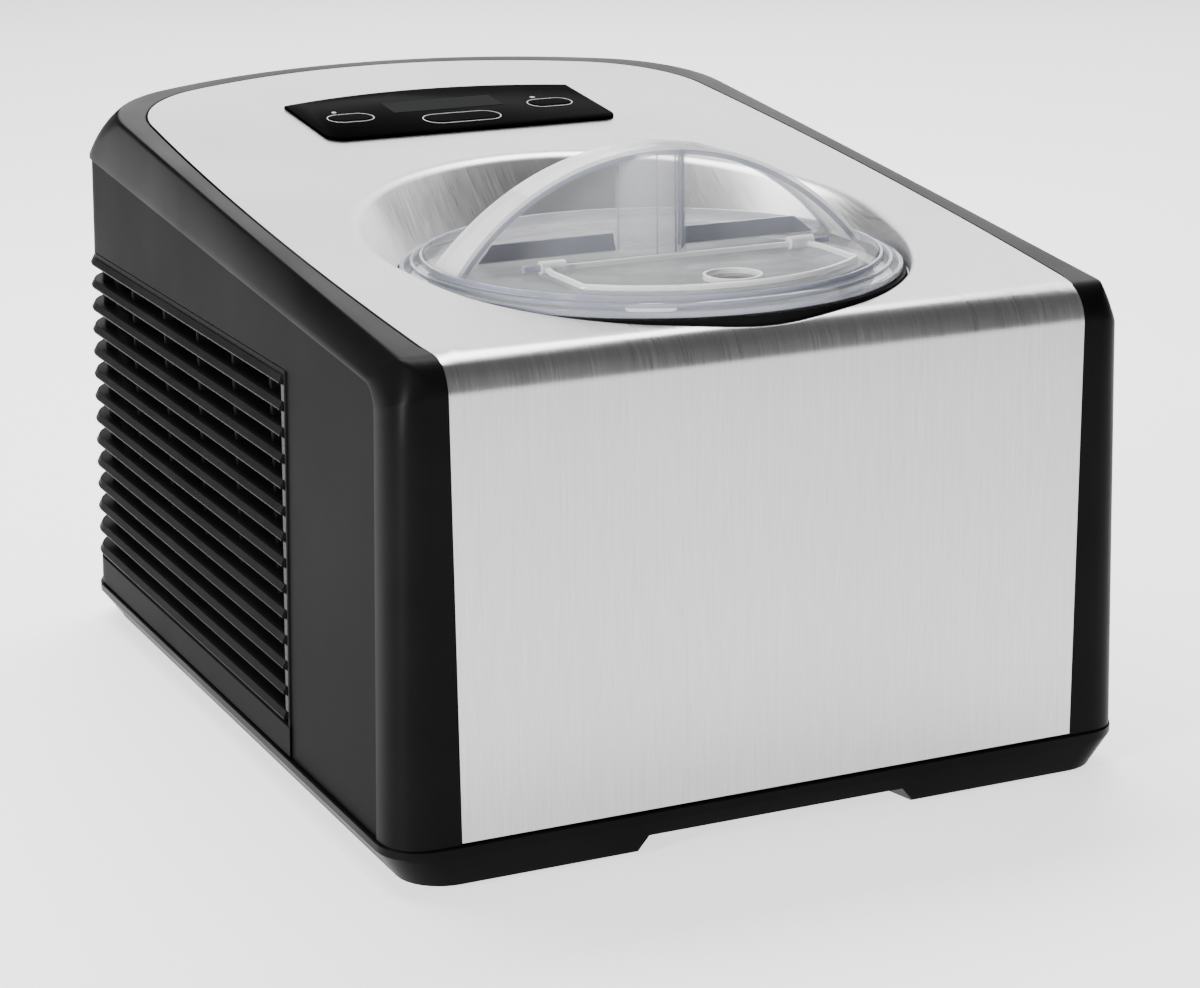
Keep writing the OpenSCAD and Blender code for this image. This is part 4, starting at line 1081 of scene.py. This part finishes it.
@dataclass
class SteelCover:
    """The one-piece brushed sheet with its bend and its pressed well."""

    lay: Layout
    sheet: float = 1.0 * MM
    proud: float = 0.1 * MM
    well_shift: float = 24 * MM
    ring_r: float = 0.0
    top_r: float = 0.0
    fillet: float = 4 * MM

    def well_edge(self, a: float) -> float:
        """Distance from the bowl's axis to the well's edge on the top plane, in direction a."""
        s, c = math.sin(a), math.cos(a)
        back = self.well_shift * s + math.sqrt(self.top_r**2 - (self.well_shift * c) ** 2)
        near = self.ring_r + 0.5 * MM
        soft = 4 * MM
        return 0.5 * (back + near + math.sqrt((back - near) ** 2 + soft**2))

    def spoke(self, p: Flat) -> list[Point]:
        """One line of points from the well's inner edge out to the outline point p."""
        lay = self.lay
        cx, cy = 0.0, lay.well_y
        a = math.atan2(p[1] - cy, p[0] - cx)
        u = (math.cos(a), math.sin(a))
        ledge = lay.front_h - 0.5 * MM
        lip_r = self.ring_r - 0.8 * MM

        def at(r: float) -> Flat:
            return cx + r * u[0], cy + r * u[1]

        inner, foot = at(lip_r), at(self.ring_r)
        r_top = self.well_edge(a)
        edge = at(r_top)
        base = (*foot, min(ledge, lay.skin_z(foot[1]) - 0.2 * MM))
        crest = (*edge, lay.skin_z(edge[1]))
        wall = Vector(crest) - Vector(base)
        reach = min(self.fillet, wall.length * 0.55)
        outer_r = math.hypot(p[0] - cx, p[1] - cy)
        room = min(reach, (outer_r - r_top) * 0.5)
        start = tuple(Vector(crest) - wall.normalized() * reach)
        flat_end = at(r_top + room)
        end = (*flat_end, lay.skin_z(flat_end[1]))
        points = [(*inner, base[2] - 2.5 * MM), (*inner, base[2] - 0.5 * MM),
                  (*at(lip_r + 0.3 * MM), base[2]), base]
        heel = mix(base, start, 0.12)
        points.append(heel)
        points.append(mix(heel, start, 0.35))
        points.append(mix(heel, start, 0.7))
        points += [bezier(start, crest, end, j / 8) for j in range(9)]
        for j in range(1, 9):
            x, y = mix(flat_end, p, j / 8)
            points.append((x, y, lay.skin_z(y)))
        return [(x, y, z + self.proud) for x, y, z in points]

    def build(self) -> bpy.types.Object:
        """Models the sheet.

        Returns:
            The sheet's mesh.
        """
        lay = self.lay
        self.ring_r = lay.lid_r + 2.4 * MM
        self.top_r = lay.lid_r + 7.7 * MM
        by, bz = lay.bend
        plan = lay.steel_plan()
        front_y = by - lay.bend_r * 0.62
        ring = [p for p in plan.around() if p[1] > front_y + 0.5 * MM]
        w = plan.right()[0][0]
        n = 44
        front = [(-w + 2 * w * i / n, front_y) for i in range(n + 1)]
        loop = [p for p in ring] + front
        loop = self.dense(loop)
        rings = [list(ring) for ring in zip(*[self.spoke(p) for p in loop])]
        top = Bench.sheet("steel_top", rings, closed=True)
        xs = [p[0] for p in loop if abs(p[1] - front_y) < 1e-9]
        start = math.degrees(math.asin(0.62))
        rows = []
        for i in range(11):
            a = math.radians(90 + start + (90 - start) * i / 10)
            r = lay.bend_r + self.proud
            rows.append([(x, by + r * math.cos(a), bz + r * math.sin(a)) for x in xs])
        rows[0] = [(x, front_y, lay.skin_z(front_y) + self.proud) for x in xs]
        low = lay.base_h + 0.9 * MM
        y = lay.face_y - self.proud
        for i in range(1, 9):
            narrow = 1 - lay.front_in / w * i / 8
            rows.append([(x * narrow, y, bz + (low - bz) * i / 8) for x in xs])
        panel = Bench.sheet("steel_front", rows)
        cover = Bench.join("steel_cover_sheet", [top, panel])
        Bench.weld(cover, 2e-5)
        Bench.face_out(cover)
        Bench.modify(cover, "SOLIDIFY", thickness=self.sheet, offset=-1, use_even_offset=False)
        Bench.smooth(cover, 40)
        return cover

    @staticmethod
    def dense(loop: Sequence[Flat], longest: float = 6 * MM) -> list[Flat]:
        """Adds points so that no stretch of a closed loop is long."""
        out: list[Flat] = []
        for i, p in enumerate(loop):
            q = loop[(i + 1) % len(loop)]
            steps = max(1, math.ceil(math.hypot(q[0] - p[0], q[1] - p[1]) / longest))
            out += [mix(p, q, j / steps) for j in range(steps)]
        return out

    def dress(self, palette: Palette) -> None:
        """Builds the sheet and gives it its finish."""
        Bench.dress(self.build(), palette.steel, Finish.STEEL, "body", "steel_cover")


@dataclass
class ControlPanel:
    """The raised gloss panel with its window, keys, key outlines and marks."""

    lay: Layout
    half_w: float = 68 * MM
    length: float = 58 * MM
    sag: float = 11 * MM
    proud: float = 1.6 * MM
    corner: float = 8 * MM
    line_gap: float = 0.2 * MM
    line_w: float = 0.45 * MM

    def start_y(self) -> float:
        """Front edge of the panel."""
        return self.lay.back - 143 * MM

    def outline(self, grow: float) -> list[Flat]:
        """The panel's outline on the top plane, from its front edge."""
        w, c = self.half_w, self.corner
        big = (w * w + self.sag**2) / (2 * self.sag)
        half = math.degrees(math.asin(w / big))
        top = arc((0, self.length + self.sag - big), big + grow, 90 - half, 90 + half, 24)
        right = arc((w - c, c), c + grow, -90, 0, 8)
        left = arc((c - w, c), c + grow, 180, 270, 8)
        return right + top + left

    def at(self, x: float, y: float, lift: float) -> Point:
        """A place on the panel, from the middle of its front edge."""
        return self.lay.on_top(x, self.start_y() + y * math.cos(self.lay.slope), lift)

    def oval(self, w: float, h: float, cx: float, cy: float, grow: float = 0.0) -> list[Flat]:
        """An oval outline."""
        r = h / 2 + grow
        right = arc((cx + w / 2 - h / 2, cy), r, -90, 90, 16)
        return right + arc((cx - w / 2 + h / 2, cy), r, 90, 270, 16)

    def keys(self) -> list[tuple[str, str, float, float, float, float]]:
        """Each key's node, body, place and size."""
        small, wide = (20 * MM, 12 * MM), (35 * MM, 14 * MM)
        return [("power_button", "power_key", -47.5 * MM, 30 * MM, *small),
                ("start_button", "start_key", 47.5 * MM, 30 * MM, *small),
                ("timer_button", "timer_key", 0.0, 18 * MM, *wide)]

    def plate(self) -> bpy.types.Object:
        """The panel's plate with a soft edge."""
        top = self.proud
        edge = ((-6 * MM, -0.6 * MM), (0.0, -0.6 * MM), (0.0, top - 0.7 * MM), (-0.3 * MM, top - 0.2 * MM),
                (-1.0 * MM, top))
        rows = [[self.at(x, y, lift) for x, y in self.outline(grow)] for grow, lift in edge]
        obj = Bench.sheet("control_panel_plate", rows, closed=True)
        Bench.cap(obj)
        Bench.smooth(obj, 30)
        return obj

    def ring(self, name: str, w: float, h: float, cx: float, cy: float) -> bpy.types.Object:
        """A thin printed oval line round a key.

        Args:
            name: The new object's name.
            w: The key's width.
            h: The key's height.
            cx: The key's place across the panel.
            cy: The key's place up the panel.

        Returns:
            The line.
        """
        near, far = self.line_gap, self.line_gap + self.line_w
        lift = self.proud + 0.06 * MM
        low = lift - 0.3 * MM
        rows = []
        for grow, z in ((near, low), (near, lift), (far, lift), (far, low)):
            rows.append([self.at(x, y, z) for x, y in self.oval(w, h, cx, cy, grow)])
        obj = Bench.sheet(name, rows + [rows[0]], closed=True)
        Bench.weld(obj, 1e-6)
        Bench.face_out(obj)
        return obj

    def dress(self, palette: Palette) -> None:
        """Builds the panel's pieces and gives them their finishes."""
        Bench.dress(self.plate(), palette.gloss, Finish.GLOSS, "body", "control_panel")
        top = self.proud
        edge = ((-2 * MM, top - 0.4 * MM), (-0.3 * MM, top - 0.4 * MM), (-0.3 * MM, top + 0.1 * MM),
                (-0.6 * MM, top + 0.28 * MM), (-1.6 * MM, top + 0.3 * MM))
        for node, body, cx, cy, w, h in self.keys():
            rows = [[self.at(x, y, z) for x, y in self.oval(w, h, cx, cy, g)] for g, z in edge]
            cap = Bench.sheet(node + "_cap", rows, closed=True)
            Bench.cap(cap)
            Bench.smooth(cap, 30)
            Bench.dress(cap, palette.gloss, Finish.GLOSS, body, node)
            line = self.ring(node + "_line", w, h, cx, cy)
            Bench.dress(line, palette.print, Finish.WHITE, "body")
        self.window(palette)
        self.marks(palette)

    def window(self, palette: Palette) -> None:
        """The unlit display window."""
        w, h, cy = 26 * MM, 8.5 * MM, 41 * MM
        outline = [(-w, cy - h), (w, cy - h), (w, cy + h), (-w, cy + h)]
        obj = Bench.prism("display_window", outline, self.proud - 1.5 * MM, self.proud + 0.12 * MM, self.at)
        Bench.bevel(obj, 0.12 * MM, 1)
        Bench.dress(obj, palette.display, Finish.DISPLAY, "body", "display")

    def marks(self, palette: Palette) -> None:
        """The two indicator lights."""
        parts = []
        for side in (-1, 1):
            cx, cy = side * 47.5 * MM - 4 * MM, 40 * MM
            dot = arc((cx, cy), 1.1 * MM, 0, 337.5, 15)
            parts.append(Bench.prism("light", dot, self.proud - 1 * MM, self.proud + 0.15 * MM, self.at))
        lights = Bench.join("indicator_light_caps", parts)
        Bench.dress(lights, palette.print, Finish.WHITE, "body", "indicator_lights")


@dataclass
class ClearLid:
    """The clear lid: flange, deck, arched web with its band, centre post and disc."""

    lay: Layout
    wall: float = 2.4 * MM
    arch_h: float = 48 * MM
    band: float = 17 * MM
    deck_h: float = 7 * MM
    post_r: float = 14 * MM
    flap_half: float = 58 * MM
    hole_r: float = 10 * MM
    hinge_back: float = -24 * MM

    @property
    def deck_r(self) -> float:
        """Radius of the raised deck."""
        return self.lay.lid_r - 8.5 * MM

    @property
    def top(self) -> float:
        """Height of the deck's upper face."""
        return self.lay.lid_z + self.deck_h

    @property
    def arch(self) -> tuple[float, float, float]:
        """Half span, radius and centre height of the arch."""
        half = self.deck_r - 2 * MM
        rise = self.lay.lid_z + self.arch_h - self.top + 2 * MM
        radius = (half * half + rise * rise) / (2 * rise)
        return half, radius, self.lay.lid_z + self.arch_h - radius

    @property
    def hole_y(self) -> float:
        """Place of the finger hole, from the bowl's axis."""
        return self.hole_r + 5 * MM - (self.deck_r - 5.5 * MM)

    def moon(self, grow: float) -> list[Flat]:
        """The flap's half-moon outline about the bowl's axis, grown by an amount."""
        r = self.deck_r - 5.5 * MM + grow
        half, back = self.flap_half + grow, self.hinge_back + 1 * MM + grow
        low = math.degrees(math.acos(half / r))
        front = arc((0, 0), r, -90 - (90 - low), -low, 36)
        ear, chamfer = 9 * MM, 2 * MM
        return front + [(half, back - ear), (half - chamfer, back),
                        (chamfer - half, back), (-half, back - ear)]

    def prism(self, name: str, outline: Sequence[Flat], low: float, high: float) -> bpy.types.Object:
        """A block over an outline given about the bowl's axis."""
        return Bench.prism(name, outline, low, high, lambda x, y, h: (x, y + self.lay.well_y, h))

    def shell(self) -> bpy.types.Object:
        """The turned part: flange, riser, deck and skirt, with the spout opening cut out."""
        lay = self.lay
        z, r, t, top = lay.lid_z, lay.lid_r, self.wall, self.top
        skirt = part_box("mixing_bowl")[1].x - 7.8 * MM
        deck = self.deck_r
        inner = [(0.0, top - t), (skirt - t, top - t), (skirt - t, z - 9.5 * MM),
                 (skirt - t * 0.5, z - 10 * MM), (skirt, z - 9.5 * MM), (skirt, z)]
        flange = [(r - 0.8 * MM, z), (r, z + 0.8 * MM), (r, z + 2.2 * MM), (r - 0.8 * MM, z + 3 * MM)]
        riser = [(deck + 4.2 * MM, z + 3.2 * MM), (deck + 3.6 * MM, z + 4.4 * MM),
                 (deck + 1.2 * MM, z + 4.6 * MM)]
        profile = inner + flange + riser + [(deck, top - 1.2 * MM), (deck - 1.2 * MM, top), (0.0, top)]
        obj = Bench.turned("lid_shell", profile, (0.0, lay.well_y), 128)
        Bench.face_out(obj)
        cut = self.prism("spout_cut", self.moon(-4 * MM), z - 5 * MM, top + 5 * MM)
        Bench.modify(obj, "BOOLEAN", operation="DIFFERENCE", solver="EXACT", object=cut)
        bpy.data.objects.remove(cut)
        Bench.smooth(obj, 35)
        return obj

    def rings(self) -> bpy.types.Object:
        """The thick edges of the flange and the deck, where the clear plastic looks darker; their dark bluish
        grey is painted shade.
        """
        lay = self.lay
        z, r, deck = lay.lid_z, lay.lid_r, self.deck_r
        parts = []
        for radius, low, high, wide in ((r - 0.9 * MM, z + 0.5 * MM, z + 2.4 * MM, 0.8 * MM),
                                        (deck + 3.8 * MM, z + 3.1 * MM, z + 4.5 * MM, 0.6 * MM),
                                        (deck + 0.1 * MM, z + 4.4 * MM, self.top - 0.4 * MM, 0.5 * MM)):
            near, far = radius - wide, radius + wide
            profile = [(near, low), (far, low), (far, high), (near, high), (near, low)]
            ring = Bench.turned("ring", profile, (0.0, lay.well_y), 128)
            Bench.face_out(ring)
            parts.append(ring)
        rings = Bench.join("lid_edge_rings", parts)
        Bench.smooth(rings, 35)
        return rings

    def strip(self, name: str, low: float, high: float, y0: float, y1: float,
              flare: float) -> bpy.types.Object:
        """A strip that follows the arch, between two heights under its crown and two places in y."""
        half, radius, cz = self.arch
        wy = self.lay.well_y
        most = math.asin(half / radius)
        rows: list[list[Point]] = [[], [], [], []]
        n = 56
        for i in range(n + 1):
            t = -1 + 2 * i / n
            a = most * t
            wide = 1 + flare * abs(t) ** 4
            for k, (d, y) in enumerate(((low, y0), (low, y1), (high, y1), (high, y0))):
                rows[k].append(((radius - d) * math.sin(a), wy + y * wide, cz + (radius - d) * math.cos(a)))
        obj = Bench.sheet(name, rows + [rows[0]])
        Bench.weld(obj, 1e-6)
        Bench.cap(obj)
        Bench.face_out(obj)
        return obj

    def web(self) -> bpy.types.Object:
        """The thin upright plate under the band."""
        half, radius, cz = self.arch
        wy, t = self.lay.well_y, 1.0 * MM
        most = math.asin(half / radius) * 0.985
        n = 48
        crown = []
        foot = []
        for i in range(n + 1):
            a = -most + 2 * most * i / n
            x = (radius - 1.2 * MM) * math.sin(a)
            crown.append((x, cz + (radius - 1.2 * MM) * math.cos(a)))
            foot.append((x, min(self.top, crown[-1][1])))
        rows = [[(x, wy - t, z) for x, z in foot], [(x, wy - t, z) for x, z in crown],
                [(x, wy + t, z) for x, z in crown], [(x, wy + t, z) for x, z in foot]]
        obj = Bench.sheet("lid_web", rows + [rows[0]])
        Bench.weld(obj, 1e-6)
        Bench.cap(obj)
        Bench.face_out(obj)
        return obj

    def foot_shade_band(self) -> bpy.types.Object:
        """A near-black sheet at the step in the deck behind the web: painted shade that draws the dark stripe
        along the web's foot.
        """
        wy = self.lay.well_y
        parts = []
        for side in (-1, 1):
            x0, x1 = side * (self.post_r + 0.4 * MM), side * 72 * MM
            rows = []
            for j in range(5):
                z = self.top + (0.2 + 6.3 * j / 4) * MM
                reach = x1 - side * 7 * MM * j / 4
                y = wy + 1.8 * MM
                out = y + 2.2 * MM * math.sin(math.pi * j / 8)
                rows.append([(x0 + (reach - x0) * i / 12, out, z) for i in range(13)])
            sheet = Bench.sheet("foot", rows)
            Bench.modify(sheet, "SOLIDIFY", thickness=1.2 * MM, offset=0)
            parts.append(sheet)
        obj = Bench.join("lid_foot_painted_shade", parts)
        Bench.face_out(obj)
        Bench.smooth(obj, 40)
        return obj

    def post(self) -> bpy.types.Object:
        """The hollow centre post with its top disc."""
        high = self.lay.lid_z + self.arch_h
        r, wall = self.post_r, 1.6 * MM
        profile = [(0.0, high - 1.6 * MM), (r - wall, high - 1.6 * MM), (r - wall, self.top - 0.4 * MM),
                   (r, self.top - 0.4 * MM), (r, high - 2.4 * MM), (r + 1.6 * MM, high - 1.2 * MM),
                   (r + 1.8 * MM, high), (r + 1.0 * MM, high + 0.7 * MM), (3 * MM, high + 0.7 * MM),
                   (1.6 * MM, high), (0.0, high)]
        obj = Bench.turned("lid_post", profile, (0.0, self.lay.well_y), 64)
        Bench.face_out(obj)
        Bench.smooth(obj, 35)
        return obj

    def ribs(self) -> bpy.types.Object:
        """The upright edges inside the post and where it meets the web."""
        high = self.lay.lid_z + self.arch_h - 1.5 * MM
        parts = []
        ribs = ((-8, 13.0, 1.3), (-30, 12.2, 0.5), (-62, 11.9, 0.6), (-104, 12.0, 0.45), (8, 13.4, 0.8),
                (172, 13.2, 0.6))
        for deg, r, w in ribs:
            a = math.radians(deg)
            x, y = r * MM * math.cos(a), r * MM * math.sin(a)
            half = w * MM / 2
            outline = [(x - half, y - half), (x + half, y - half), (x + half, y + half), (x - half, y + half)]
            parts.append(self.prism("rib", outline, self.top, high))
        return Bench.join("lid_post_ribs", parts)

    def flap_plate(self) -> bpy.types.Object:
        """The flap's plate with its finger hole."""
        low = self.top - 0.9 * MM
        plate = self.prism("flap_plate", self.moon(0), low, low + self.wall)
        ring = arc((0.0, self.hole_y), self.hole_r, 0, 352.5, 47)
        cut = self.prism("hole_cut", ring, low - 5 * MM, low + 9 * MM)
        Bench.modify(plate, "BOOLEAN", operation="DIFFERENCE", solver="EXACT", object=cut)
        bpy.data.objects.remove(cut)
        Bench.bevel(plate, 0.3 * MM, 2)
        Bench.smooth(plate, 35)
        return plate

    def flap_edge(self) -> bpy.types.Object:
        """The raised lip round the flap, its knuckles and the rim of the finger hole."""
        low = self.top + 0.4 * MM
        wy = self.lay.well_y
        high = low + 1.8 * MM
        rows = []
        for grow, z in ((-0.2 * MM, low), (-0.2 * MM, high), (-1.6 * MM, high), (-1.6 * MM, low)):
            rows.append([(x, y + wy, z) for x, y in self.moon(grow)])
        lip = Bench.sheet("lip", rows + [rows[0]], closed=True)
        Bench.weld(lip, 1e-6)
        r, crest = self.hole_r, low + 1.9 * MM
        rim = [(r, low), (r + 1.2 * MM, low), (r + 1.2 * MM, crest), (r, crest), (r, low)]
        hole = Bench.turned("hole_rim", rim, (0.0, wy + self.hole_y), 48)
        parts = [lip, hole]
        for side in (-1, 1):
            hinge = (wy + self.hinge_back, self.lay.lid_z + 8.8 * MM)
            circle = arc(hinge, 2.6 * MM, 0, 342, 19)
            rows = [[(side * x, p, q) for p, q in circle] for x in (self.flap_half - 10 * MM, self.flap_half)]
            knuckle = Bench.sheet("knuckle", rows, closed=True)
            Bench.cap(knuckle)
            parts.append(knuckle)
        obj = Bench.join("flap_lip", parts)
        Bench.face_out(obj)
        Bench.smooth(obj, 35)
        return obj

    def pins(self) -> bpy.types.Object:
        """The moulded pegs that the flap turns on."""
        low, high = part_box("flap_pin")
        y, z = (low.y + high.y) / 2, (low.z + high.z) / 2
        circle = arc((y, z), 1.4 * MM, 0, 345, 23)
        parts = []
        for side in (-1, 1):
            rows = [[(side * x, p, q) for p, q in circle] for x in (high.x - 14 * MM, high.x)]
            peg = Bench.sheet("peg", rows, closed=True)
            Bench.cap(peg)
            parts.append(peg)
        return Bench.join("flap_pegs", parts)

    def dress(self, palette: Palette) -> None:
        """Builds the lid and its flap and gives them the clear finishes."""
        film, white, edge = palette.clear, palette.bright, palette.blue
        Bench.dress(self.shell(), film, Finish.CLEAR, "lid", "lid")
        # Thick edges, the band's edges, the post's ribs and the pegs take the dark bluish grey: painted shade
        Bench.dress(self.rings(), edge, Finish.CLEAR, "lid")
        half = self.band / 2
        # The band along the arch's crown in near-opaque white: painted highlight
        Bench.dress(self.strip("lid_band", 0.0, self.wall, -half, half, 0.35), white, Finish.CLEAR, "lid")
        edges = [self.strip("edge", 1.6 * MM, 3.4 * MM, -half - 0.3 * MM, -half + 0.5 * MM, 0.35),
                 self.strip("edge", 1.2 * MM, 3.2 * MM, half - 0.5 * MM, half + 0.3 * MM, 0.35)]
        Bench.dress(Bench.join("lid_band_edges", edges), edge, Finish.CLEAR, "lid")
        Bench.dress(self.web(), film, Finish.CLEAR, "lid")
        # The stripe along the web's foot in near black: painted shade
        Bench.dress(self.foot_shade_band(), palette.deep, Finish.CLEAR, "lid")
        Bench.dress(self.post(), film, Finish.CLEAR, "lid")
        # The post's upright edges in the dark bluish grey: painted shade
        Bench.dress(self.ribs(), edge, Finish.CLEAR, "lid")
        Bench.dress(self.flap_plate(), film, Finish.CLEAR, "flap", "ingredient_flap")
        # The flap's lip in the same white: painted highlight
        Bench.dress(self.flap_edge(), white, Finish.CLEAR, "flap")
        Bench.dress(self.pins(), edge, Finish.CLEAR, "lid", "flap_pin")


@dataclass
class Studio:
    """Floor, lights and camera."""

    place: Point = (-0.5350, -1.1943, 0.4418)
    azimuth: float = 25.124
    pitch: float = 15.438
    roll: float = -0.6
    lens: float = 95.32
    glow: float = 1.5

    def camera(self) -> None:
        """Adds the camera and makes it the scene's."""
        data = bpy.data.cameras.new("view")
        cam = bpy.data.objects.new("view", data)
        bpy.context.scene.collection.objects.link(cam)
        data.sensor_width = 36.0
        data.lens = self.lens
        data.clip_start = 0.05
        turn = Matrix.Rotation(math.radians(-self.azimuth), 4, "Z")
        tip = Matrix.Rotation(math.radians(90 - self.pitch), 4, "X")
        roll = Matrix.Rotation(math.radians(self.roll), 4, "Z")
        cam.matrix_world = Matrix.Translation(self.place) @ turn @ tip @ roll
        bpy.context.scene.camera = cam

    def floor(self) -> None:
        """Adds the pale floor."""
        Bench.deselect()
        bpy.ops.mesh.primitive_plane_add(size=12, location=(0, 0, 0))
        floor = bpy.context.object
        floor.name = "floor"
        n = Nodes("pale_floor")
        cloud = n.noise((2, 2, 2), 1.0, 2.0, 0.5)
        n.link(n.tint(cloud, (0.90, 0.90, 0.90), (0.93, 0.93, 0.93)), "Color", n.shader, "Base Color")
        n.set(Roughness=0.6, Emission_Color=(1, 1, 1, 1), Emission_Strength=self.glow)
        floor.data.materials.append(n.material)

    def lamp(self, name: str, place: Point, target: Point, size: Flat, power: float) -> None:
        """Adds one soft box.

        Args:
            name: The lamp's name.
            place: Its place.
            target: What it faces.
            size: Its width and height.
            power: Its power, in watts.
        """
        data = bpy.data.lights.new(name, "AREA")
        data.shape = "RECTANGLE"
        data.size, data.size_y = size
        data.energy = power
        lamp = bpy.data.objects.new(name, data)
        bpy.context.scene.collection.objects.link(lamp)
        lamp.location = place
        lamp.rotation_euler = (Vector(target) - Vector(place)).to_track_quat("-Z", "Y").to_euler()

    def world(self) -> None:
        """A bright, even surrounding."""
        world = bpy.data.worlds.new("studio")
        bpy.context.scene.world = world
        world.use_nodes = True
        back = world.node_tree.nodes["Background"]
        back.inputs["Color"].default_value = (1, 1, 1, 1)
        back.inputs["Strength"].default_value = 0.16

    def build(self) -> None:
        """Sets up the studio."""
        self.camera()
        self.floor()
        self.world()
        self.lamp("overhead", (0.0, 0.55, 1.5), (0, 0.15, 0.1), (1.6, 0.6), 46)
        self.lamp("back_right", (1.1, 2.0, 1.25), (0, 0, 0.2), (2.2, 1.3), 30)
        self.lamp("key_left", (-1.9, -0.9, 0.42), (0, 0, 0.1), (0.3, 0.7), 60)


def paint_frame(frame: dict, palette: Palette) -> None:
    """Gives every CAD node the material of its slot.

    Args:
        palette: The machine's materials.
    """
    slots = {s["node"]: s["material_slot"] for s in frame["record"]["subparts"]}
    table = palette.by_slot()
    for name, obj in frame["nodes"].items():
        obj.data.materials.clear()
        obj.data.materials.append(table[Finish(slots[name])])


def main() -> None:
    """Builds the machine's looks and the studio round it."""
    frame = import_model()
    Bench.deselect()
    palette = Palette()
    paint_frame(frame, palette)
    lay = Layout.from_frame()
    for part in (BaseTray, Housing, RearCover, SteelCover, ControlPanel, ClearLid):
        LOG.info("building %s", part.__name__)
        part(lay).dress(palette)
    Studio().build()


if __name__ == "__main__":
    logging.basicConfig(level=logging.INFO, format="%(name)s: %(message)s")
    main()
